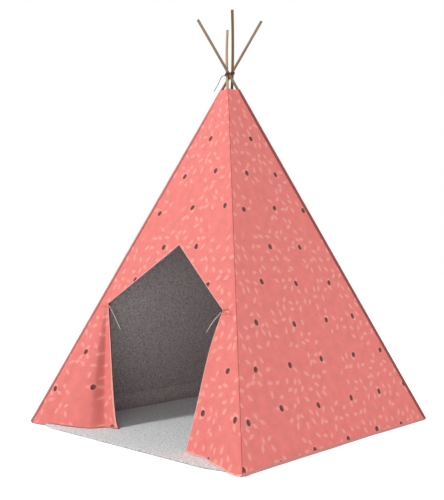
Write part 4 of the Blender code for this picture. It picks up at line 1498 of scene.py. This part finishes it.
def knot_points(middle, reach, axis):
    """Route of an overhand knot: a small trefoil about its axis."""
    side = axis.orthogonal().normalized()
    across = axis.cross(side)
    points = []
    for step in range(KNOT_POINTS + 1):
        turn = math.tau * step / KNOT_POINTS
        x = (math.sin(turn) + 2 * math.sin(2 * turn)) / 3
        y = (math.cos(turn) - 2 * math.cos(2 * turn)) / 3
        z = -math.sin(3 * turn) / 3
        points.append(middle + (side * x + across * y + axis * z) * reach)
    return points


def build_tie(pole):
    """A tie of the cover's own cloth round the gathered flap, knotted at its edge."""
    diameter = sizes().tie_diameter
    word = SIDE_WORDS[-1 if pole == LEFT_POLE else 1]
    route = smooth_route(tie_stops(pole), diameter / 2)
    rings = twisted_rings(route, diameter, depth=0.05, sides=12)
    name = f"door_tie_{word}_loop"
    mesh = ring_mesh(name, rings, math.pi * diameter)
    swing_with_flap(add_piece(name, mesh, ["canvas"], f"tie_{word}"), pole)
    reach = (KNOT_DIAMETER - diameter) / 2
    line = knot_points(knot_middle(pole), reach * 1.1, Vector((0.3, 0.2, 1)).normalized())
    name = f"door_tie_{word}_knot"
    swing_with_flap(add_cord(name, line, diameter * 0.9, "tie", tip=False)[0], pole)


def build_loose_end(name, start, leaving, stops, diameter, finish_name, replaced):
    """A loose end of a cord, straight out of its start and then through the stops."""
    straight = start + leaving * diameter
    points = [start, *smooth_route([straight, *stops], diameter * 2)]
    piece, path = add_cord(name, points, diameter, finish_name, replaced)
    line_length(path)
    return piece


def build_tie_end(name, pole, finish_name, replaced):
    """A loose end of a tie, from the surface of its knot."""
    middle = knot_middle(pole)
    _, _, inward, outward = gathered_neck(pole)
    up = Vector((0, 0, 1))
    stops = [middle + inward * a + outward * b + up * c for a, b, c in TIE_END_ROUTES[name]]
    leaving = (stops[0] - middle).normalized()
    start = middle + leaving * (KNOT_DIAMETER / 2 + CORD_GAP)
    diameter = sizes().tie_diameter
    end = build_loose_end(name, start, leaving, stops, diameter, finish_name, replaced)
    swing_with_flap(end, pole)


def lashed_radius(turn, height):
    """Distance from the tent's axis to the middle of a cord round the poles, open or folded."""
    open_lean = math.acos(pole_direction(0).z)
    return max(
        bundle_radius(turn, height, open_lean - FOLD_ANGLE * step / LEAN_STEPS)
        for step in range(LEAN_STEPS + 1)
    )


def bundle_radius(turn, height, lean):
    """The same for poles that all lean by this angle: a rounded square through the four."""
    along = (CROSSING_HEIGHT - height) * math.tan(lean)
    crossing = pole_crossing(0)
    outward = pole_foot(0) - crossing
    corner = crossing.xy + outward.xy.normalized() * along
    reach = corner.length
    side = math.radians(45)
    round_by = pole_radius / math.cos(lean) + CORD_GAP + sizes().lashing_diameter / 2
    past = (turn - math.atan2(corner.y, corner.x) + side) % (2 * side) - side
    bend = math.atan2(round_by * math.sin(side), reach + round_by * math.cos(side))
    if abs(past) <= bend:
        return reach * math.cos(past) + math.sqrt(round_by**2 - (reach * math.sin(past)) ** 2)
    return (reach * math.cos(side) + round_by) / math.cos(side - abs(past))


def lashing_points():
    """Turns of the lashing, clockwise from the top, with a straight diameter at each end."""
    diameter = sizes().lashing_diameter
    count = LOOP_POINTS * LASHING_TURNS
    top = CROSSING_HEIGHT + LASHING_RISE + LASHING_PITCH * LASHING_TURNS / 2
    points = []
    for step in range(count + 1):
        turn = LASHING_END_ANGLE + math.tau * (count - step) / LOOP_POINTS
        level = top - LASHING_PITCH * step / LOOP_POINTS
        reach = lashed_radius(turn, level)
        level += LASHING_SLOPE_SHARE * reach * math.cos(turn - math.radians(45))
        reach = lashed_radius(turn, level)
        points.append(Vector((reach * math.cos(turn), reach * math.sin(turn), level)))
    first = points[0] + (points[0] - points[1]).normalized() * diameter
    last = points[-1] + (points[-1] - points[-2]).normalized() * diameter
    return [first, *points, last]


def mat_half_side():
    """Half the mat's side, up to the cloth where the mat's edge is highest."""
    top = MAT_THICKNESS - MAT_EDGE_ROUND
    middle = on_face(1, 0.5, top).x
    slope = (on_face(1, 0.5, 0).x - on_face(1, 0.5, COVER_TOP_HEIGHT).x) / COVER_TOP_HEIGHT
    half_cloth = sizes().cloth_thickness / 2 * math.hypot(1, slope)
    return middle - half_cloth - slope * MAT_EDGE_ROUND - SEAM_GAP


def mat_height(x, y, half):
    """Height of the mat's top at a place: soft edges and an uneven pile."""
    inset = half - max(abs(x), abs(y))
    corner = half - MAT_CORNER_RADIUS
    if abs(x) > corner and abs(y) > corner:
        inset = MAT_CORNER_RADIUS - math.hypot(abs(x) - corner, abs(y) - corner)
    bend = 1 - (1 - max(0.0, min(inset / MAT_BEND, 1))) ** 2
    spot = Vector((x, y, 0))
    pile = noise.noise(spot * 150) * MAT_TUFT + noise.noise(spot * 9) * MAT_WAVE
    rise = MAT_THICKNESS * MAT_HIGH_SHARE + min(pile, MAT_PILE_LIMIT)
    return MAT_THICKNESS * MAT_LOW_SHARE + rise * math.sqrt(bend)


def mat_normal(x, y, half):
    """The direction out of the mat's top at a place."""
    step = 0.0006
    slope_x = (mat_height(x + step, y, half) - mat_height(x - step, y, half)) / (2 * step)
    slope_y = (mat_height(x, y + step, half) - mat_height(x, y - step, half)) / (2 * step)
    lean = Vector((-slope_x, -slope_y, 0))
    lean *= min(1, MAT_EDGE_LEAN / max(lean.length, 1e-9))
    return (lean + Vector((0, 0, 1))).normalized()


def mat_quarter_mesh(name, quarter, half):
    """A quarter of the mat: its top, its underside, and its rim along the tent's wall."""
    steps = [half * step / MAT_CELLS for step in range(MAT_CELLS)]
    steps = [s for s in steps if s < half - MAT_EDGE_START]
    steps += [half - d for d in MAT_EDGE_STEPS]
    corner = half - MAT_CORNER_RADIUS
    count = len(steps)
    top, low, leans = [], [], []
    for y in steps:
        for x in steps:
            px, py = x, y
            if x > corner and y > corner:
                away = Vector((x - corner, y - corner))
                away = away.normalized() * max(x - corner, y - corner)
                px, py = corner + away.x, corner + away.y
            spot = turned_about(Vector((px, py, 0)), quarter)
            height = mat_height(spot.x, spot.y, half)
            leans.append(mat_normal(spot.x, spot.y, half))
            beside = smooth_step((MAT_FRONT_HALF_WIDTH - abs(spot.x)) / MAT_FRONT_FADE)
            ahead = smooth_step((-spot.y - MAT_FRONT_START) / MAT_FRONT_SPAN)
            spot.y -= MAT_FRONT_REACH * beside * ahead
            top.append(Vector((spot.x, spot.y, height)))
            inset = min((MAT_THICKNESS - height) / MAT_THICKNESS, 1)
            under = MAT_THICKNESS * MAT_LOW_SHARE * smooth_step(inset)
            low.append(Vector((spot.x, spot.y, under)))
    faces, shading = [], []
    total = count * count
    for row in range(count - 1):
        for column in range(count - 1):
            a = row * count + column
            quad = (a, a + 1, a + count + 1, a + count)
            faces += [quad, tuple(total + i for i in reversed(quad))]
            shading += [leans[i] for i in quad] + [Vector((0, 0, -1))] * 4
    rim = [row * count + count - 1 for row in range(count)]
    rim += [count * (count - 1) + column for column in range(count - 2, -1, -1)]
    for a, b in zip(rim, rim[1:]):
        faces.append((b, a, a + total, b + total))
        out = Vector((top[a].x + top[b].x, top[a].y + top[b].y, 0)).normalized()
        shading += [(out * MAT_EDGE_LEAN + Vector((0, 0, 1))).normalized()] * 4
    mesh = bpy.data.meshes.new(name)
    mesh.from_pydata(top + low, [], faces)
    mesh.shade_smooth()
    mesh.normals_split_custom_set(shading)
    return mesh


def build_mat_quarter(quarter, half):
    """A quarter of the mat, which crumples with its own pole when the tent folds."""
    pole = (quarter + 2) % 4
    name = f"floor_mat_{POLE_NAMES[pole]}_quarter"
    mesh = mat_quarter_mesh(name, quarter, half)
    piece = add_piece(name, mesh, ["fleece"], "floor_mat")
    corner = turned_about(Vector((half, half, 0)), quarter)
    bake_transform(piece, COVER_BODY, POLE_BODIES[pole], start=(0, 0, 0), end=tuple(corner))
    weights = [smooth_step(abs(vertex.co.x * vertex.co.y) / half**2) for vertex in mesh.vertices]
    mesh.attributes["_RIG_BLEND"].data.foreach_set("value", weights)


def build_upper_pole(pole):
    """The upper section of a pole: a dowel with a rounded tip, very slightly uneven."""
    node = f"{POLE_NAMES[pole]}_upper_pole"
    low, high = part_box(node)
    rise = pole_direction(pole).z
    lean_reach = pole_radius * math.sqrt(1 - rise**2)
    top = (high.z - lean_reach - CROSSING_HEIGHT) / rise + TIP_RISE
    bottom = (low.z + lean_reach * 0.8 - CROSSING_HEIGHT) / rise
    levels = [bottom + (top - bottom) * step / DOWEL_RINGS for step in range(DOWEL_RINGS)]
    profile = [(pole_radius, level) for level in levels if level < top - POLE_END_ROUND]
    for step in range(TIP_RINGS + 1):
        turn = math.pi / 2 * step / TIP_RINGS
        radius = pole_radius - POLE_END_ROUND * (1 - math.cos(turn))
        profile.append((radius, top - POLE_END_ROUND * (1 - math.sin(turn))))

    def uneven(angle, level):
        place = (math.cos(angle), math.sin(angle), level * 9 + pole * 5)
        return noise.noise(Vector(place)) * POLE_UNEVEN

    def warp(level):
        return POLE_WARP * (max(level, 0.0) / top) ** 2

    name = f"{POLE_NAMES[pole]}_upper_dowel"
    rings = turned_rings(pole, profile, ROUND_SIDES, uneven, warp)
    mesh = ring_mesh(name, rings, math.tau * pole_radius)
    add_piece(name, mesh, [POLE_WOODS[pole]], node, POLE_BODIES[pole])


def build_foot(pole):
    """A rubber cap with a domed end and two grip rings."""
    level = -(CROSSING_HEIGHT - FIRST_FOOT.z) / pole_direction(pole).z
    top = level + FOOT_HEIGHT
    profile = []
    for step in range(FOOT_RINGS + 1):
        turn = math.pi / 2 * (1 - step / FOOT_RINGS)
        radius = max(sleeve_radius * math.cos(turn), FOOT_TIP_RADIUS)
        profile.append((radius, level - sleeve_radius * math.sin(turn)))
    for share, inset in FOOT_PROFILE:
        profile.append((sleeve_radius - inset, level + FOOT_HEIGHT * share))
    bore = pole_radius + FOOT_EASE
    profile += [(bore, top), (bore, level + FOOT_BORE_LEVEL)]
    name = f"{POLE_NAMES[pole]}_foot_cap"
    rings = turned_rings(pole, profile, ROUND_SIDES)
    mesh = ring_mesh(name, rings, math.tau * sleeve_radius)
    add_piece(name, mesh, ["rubber"], f"{POLE_NAMES[pole]}_foot", POLE_BODIES[pole])


def build_sleeve(pole):
    """A sleeve of the cover's canvas round a pole, puckered, with its lower end a little wider."""
    rise = pole_direction(pole).z
    bottom = (SLEEVE_END_LEVEL - CROSSING_HEIGHT) / rise
    top = (COVER_TOP_HEIGHT - CROSSING_HEIGHT) / rise
    levels = [bottom + (top - bottom) * row / SLEEVE_RINGS for row in range(SLEEVE_RINGS + 1)]
    profile = [(sleeve_radius - SLEEVE_INSET, level) for level in levels]

    def uneven(angle, level):
        place = (math.cos(angle) * 0.8, math.sin(angle) * 0.8, level * 28 + pole * 3)
        held = smooth_step((bottom + SLEEVE_FLARE_REACH - level) / SLEEVE_FLARE_FADE)
        flare = SLEEVE_FLARE * held
        return SLEEVE_PUCKER * noise.noise(Vector(place)) + flare

    name = f"{POLE_NAMES[pole]}_sleeve_cloth"
    rings = turned_rings(pole, profile, SLEEVE_SIDES, uneven)
    mesh = ring_mesh(name, rings, math.tau * sleeve_radius, closed_ends=False)
    node = f"{POLE_NAMES[pole]}_sleeve"
    piece = add_piece(name, mesh, ["sleeve", "lining"], node, POLE_BODIES[pole])
    wall = piece.modifiers.new("Cloth", "SOLIDIFY")
    wall.thickness = sleeve_radius - sleeve_bore
    wall.offset = -1
    wall.material_offset = 1
    wall.material_offset_rim = 0
    for face, side in ((pole, 1), ((pole + 3) % 4, -1)):
        if (face, -side) not in WRAP_ENDS:
            build_seam(pole, face, side)
    if pole == RIGHT_POLE:
        build_corner_seam()


def build_seam(pole, face, side):
    """The sewn strip between a sleeve and a panel: it lies in the dip and runs up the sleeve. Its dark
    colour is painted shade for the dip, and at the back right it runs far round the sleeve as painted shade
    for that sleeve's shaded side.

    Its side is the direction into the panel.
    """
    shades_sleeve = (face, side) == (1, -1)
    width = sizes().seam_width * (SHADE_STRIP_SHARE if shades_sleeve else 1)
    turns = SHADE_STRIP_TURNS if shades_sleeve else SEAM_TURNS
    points = []
    for height in seam_levels():
        start, end, outward, face_width = face_edges(face, height)
        inward = (end - start).normalized() * side
        edge = start if side > 0 else end
        reach = edge_reach(face_width)
        row = []
        for share in SEAM_SHARES:
            distance = width * share * reach / EDGE_REACH
            lift = SEAM_LIFT - SEAM_FALL * share
            row.append(edge + inward * distance + outward * (lift + seam_relief(distance, reach)))
        on_sleeve = round_sleeve(pole, face, height, sleeve_radius + SEAM_THICKNESS)
        row += [on_sleeve(math.radians(turn)) for turn in turns]
        points.append(row[::-side])
    name = f"{FACE_NAMES[face]}_{SIDE_WORDS[-side]}_seam"
    add_seam(name, points, pole, "binding" if shades_sleeve else "seam")


def build_corner_seam():
    """The sewn strip along the near corner, between the cloth of the door and the right panel. Its colour, a
    lighter copy of the seam's, is painted shade for the groove at the lit near corner.
    """
    points = []
    for height in seam_levels():
        on_sleeve = round_sleeve(RIGHT_POLE, DOOR_FACE, height, sleeve_radius + SEAM_THICKNESS)
        points.append([on_sleeve(math.radians(turn)) for turn in CORNER_SEAM_TURNS])
    add_seam("door_corner_seam", points, RIGHT_POLE, "corner_seam")


def seam_levels():
    rise = COVER_TOP_HEIGHT - SEAM_START
    return [SEAM_START + rise * step / SLEEVE_RINGS for step in range(SLEEVE_RINGS + 1)]


def add_seam(name, points, pole, finish_name):
    """A sewn strip over rows of points, which moves with its pole."""
    cuts = []
    for row in points:
        up = (row[0].z - SEAM_START) / pole_direction(pole).z
        cuts.append([(line_length(row[: place + 1]), up) for place in range(len(row))])
    mesh = grid_mesh(name, points, cuts, thickness=SEAM_THICKNESS)
    add_piece(name, mesh, [finish_name] * 2, body=POLE_BODIES[pole])


def add_lamp(name, right, up, distance, size, power):
    """A square soft box that faces the middle of the tent."""
    light = bpy.data.lights.new(name, "AREA")
    light.shape = "SQUARE"
    light.size = size
    light.energy = power
    lamp = bpy.data.objects.new(name, light)
    turn, rise = math.radians(right), math.radians(up)
    level = distance * math.cos(rise)
    height = LAMP_AIM + distance * math.sin(rise)
    lamp.location = (level * math.sin(turn), -level * math.cos(turn), height)
    aim = Vector((0, 0, LAMP_AIM)) - lamp.location
    lamp.rotation_euler = aim.to_track_quat("-Z", "Y").to_euler()
    bpy.context.scene.collection.objects.link(lamp)


class TENT_OT_stage(bpy.types.Operator):
    """Adds the white floor and surround, the soft boxes and the camera"""

    bl_idname = "play_tent.stage"
    bl_label = "Stage"

    def execute(self, context):
        scene = context.scene
        scene.view_settings.view_transform = "Standard"
        mesh = bpy.data.meshes.new("studio_floor")
        quarters = ((-1, -1), (1, -1), (1, 1), (-1, 1))
        corners = [(x * FLOOR_REACH, y * FLOOR_REACH, FLOOR_LEVEL) for x, y in quarters]
        mesh.from_pydata(corners, [], [(0, 1, 2, 3)])
        mesh.materials.append(finish("paper"))
        floor = bpy.data.objects.new("studio_floor", mesh)
        scene.collection.objects.link(floor)
        world = scene.world = bpy.data.worlds.new("white_surround")
        world.use_nodes = True
        tree = world.node_tree
        light = [seen_directly(tree), 0.0, 1.0, SURROUND_LIGHT, 1.0]
        strength = add_node(tree, "MapRange", light)
        looks = {"Color": (1, 1, 1), "Strength": strength}
        set_inputs(tree, tree.nodes["Background"], looks)
        for lamp in LAMPS:
            add_lamp(*lamp)
        camera = bpy.data.objects.new("camera", bpy.data.cameras.new("camera"))
        camera.location = CAMERA_PLACE
        camera.rotation_euler = CAMERA_TURN
        camera.data.lens = CAMERA_LENS
        camera.data.sensor_width = SENSOR_WIDTH
        camera.data.clip_start = 0.05
        scene.collection.objects.link(camera)
        scene.camera = camera
        return {"FINISHED"}


class TENT_OT_cords(bpy.types.Operator):
    """Adds the door ties with their knots and loose ends, and the lashing with its tail"""

    bl_idname = "play_tent.cords"
    bl_label = "Ties and Lashing"

    def execute(self, context):
        for pole in (LEFT_POLE, RIGHT_POLE):
            build_tie(pole)
        for tie_end in TIE_ENDS:
            build_tie_end(*tie_end)
        points = lashing_points()
        diameter = sizes().lashing_diameter
        lashing, _ = add_cord(
            "crossing_lashing", points, diameter, "lashing", "lashing", tip=False
        )
        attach(lashing, COVER_BODY)
        leaving = (points[-1] - points[-2]).normalized()
        start = points[-1] + leaving * CORD_GAP
        crossing = Vector((0, 0, CROSSING_HEIGHT))
        stops = [crossing + Vector(stop) for stop in LASHING_TAIL_ROUTE]
        tail = build_loose_end(
            "crossing_lashing_end", start, leaving, stops, diameter,
            "lashing_tail", "lashing_tail",
        )
        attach(tail, COVER_BODY)
        return {"FINISHED"}


class TENT_OT_poles(bpy.types.Operator):
    """Adds the poles' upper sections and feet, and finishes the pieces inside the sleeves"""

    bl_idname = "play_tent.poles"
    bl_label = "Poles"

    def execute(self, context):
        for pole, name in enumerate(POLE_NAMES):
            for part, finish_name in (("lower_pole", "pine"), ("ferrule", "aluminium")):
                materials = frame["nodes"][f"{name}_{part}"].data.materials
                materials.clear()
                materials.append(finish(finish_name))
            build_upper_pole(pole)
            build_foot(pole)
        return {"FINISHED"}


class TENT_OT_sleeves(bpy.types.Operator):
    """Adds the cover's corner sleeves with their seams"""

    bl_idname = "play_tent.sleeves"
    bl_label = "Sleeves"

    def execute(self, context):
        for pole in range(4):
            build_sleeve(pole)
        return {"FINISHED"}


class TENT_OT_panels(bpy.types.Operator):
    """Adds the plain panels and the door panel, each in two halves that follow their poles"""

    bl_idname = "play_tent.panels"
    bl_label = "Panels"

    def execute(self, context):
        for face in (1, 2, 3):
            grid = panel_grid(face)
            for side in SIDE_WORDS:
                # The lowest rows take the sleeve's canvas: painted shade along the hem's lower edge.
                piece, points = half_panel(face, side, grid, lambda row, _: HEM_PLACE * (row < 3))
                column_length(points, len(points[0]) // 2)
                sheet_area(points)
                build_skirt(face, side)
        grid = all_points, _, middle = door_grid()

        # The lowest rows over the opening take the pale hem: partly a painted highlight along the cut's lit
        # edge.
        def strip_of(row, column):
            over_door = middle - DOOR_COLUMNS <= column < middle + DOOR_COLUMNS
            return HEM_PLACE if row < 2 and over_door else 0

        for side in SIDE_WORDS:
            piece, points = half_panel(DOOR_FACE, side, grid, strip_of)
            edge = [all_points[0][middle + side * step] for step in range(DOOR_COLUMNS + 1)]
            hem = rolled_hem(f"door_cut_hem_{SIDE_WORDS[side]}", edge, Vector((0, 1, 0)))
            follow_pole(hem, DOOR_FACE, side)
            line_length(points[0])
            column_length(points, -1 if side > 0 else 0)
            sheet_area(points)
        return {"FINISHED"}


class TENT_OT_flaps(bpy.types.Operator):
    """Adds the two door flaps, tied back and hanging in folds"""

    bl_idname = "play_tent.flaps"
    bl_label = "Door Flaps"

    def execute(self, context):
        for pole in (LEFT_POLE, RIGHT_POLE):
            build_flap(pole)
        return {"FINISHED"}


class TENT_OT_mat(bpy.types.Operator):
    """Adds the fleece mat in four quarters"""

    bl_idname = "play_tent.mat"
    bl_label = "Floor Mat"

    def execute(self, context):
        half = mat_half_side()
        for quarter in range(4):
            build_mat_quarter(quarter, half)
        return {"FINISHED"}


class TENT_PT_sidebar(bpy.types.Panel):
    """Lists the tent's operators and values"""

    bl_idname = "TENT_PT_sidebar"
    bl_label = "Play Tent"
    bl_space_type = "VIEW_3D"
    bl_region_type = "UI"
    bl_category = "Play Tent"

    def draw(self, context):
        for operator in OPERATORS:
            self.layout.operator(operator.bl_idname)
        for group in (context.scene.tent_sizes, context.scene.tent_colours):
            box = self.layout.box()
            for name in group.__annotations__:
                box.prop(group, name)


OPERATORS = (
    TENT_OT_stage,
    TENT_OT_cords,
    TENT_OT_poles,
    TENT_OT_sleeves,
    TENT_OT_panels,
    TENT_OT_flaps,
    TENT_OT_mat,
)
CLASSES = (TentSizes, TentColours, *OPERATORS, TENT_PT_sidebar)


def register():
    for cls in CLASSES:
        bpy.utils.register_class(cls)
    bpy.types.Scene.tent_sizes = PointerProperty(type=TentSizes)
    bpy.types.Scene.tent_colours = PointerProperty(type=TentColours)


def unregister():
    del bpy.types.Scene.tent_colours
    del bpy.types.Scene.tent_sizes
    for cls in reversed(CLASSES):
        bpy.utils.unregister_class(cls)


def main():
    register()
    bpy.ops.play_tent.stage()
    bpy.ops.play_tent.cords()
    bpy.ops.play_tent.poles()
    bpy.ops.play_tent.sleeves()
    bpy.ops.play_tent.panels()
    bpy.ops.play_tent.flaps()
    bpy.ops.play_tent.mat()


if __name__ == "__main__":
    main()
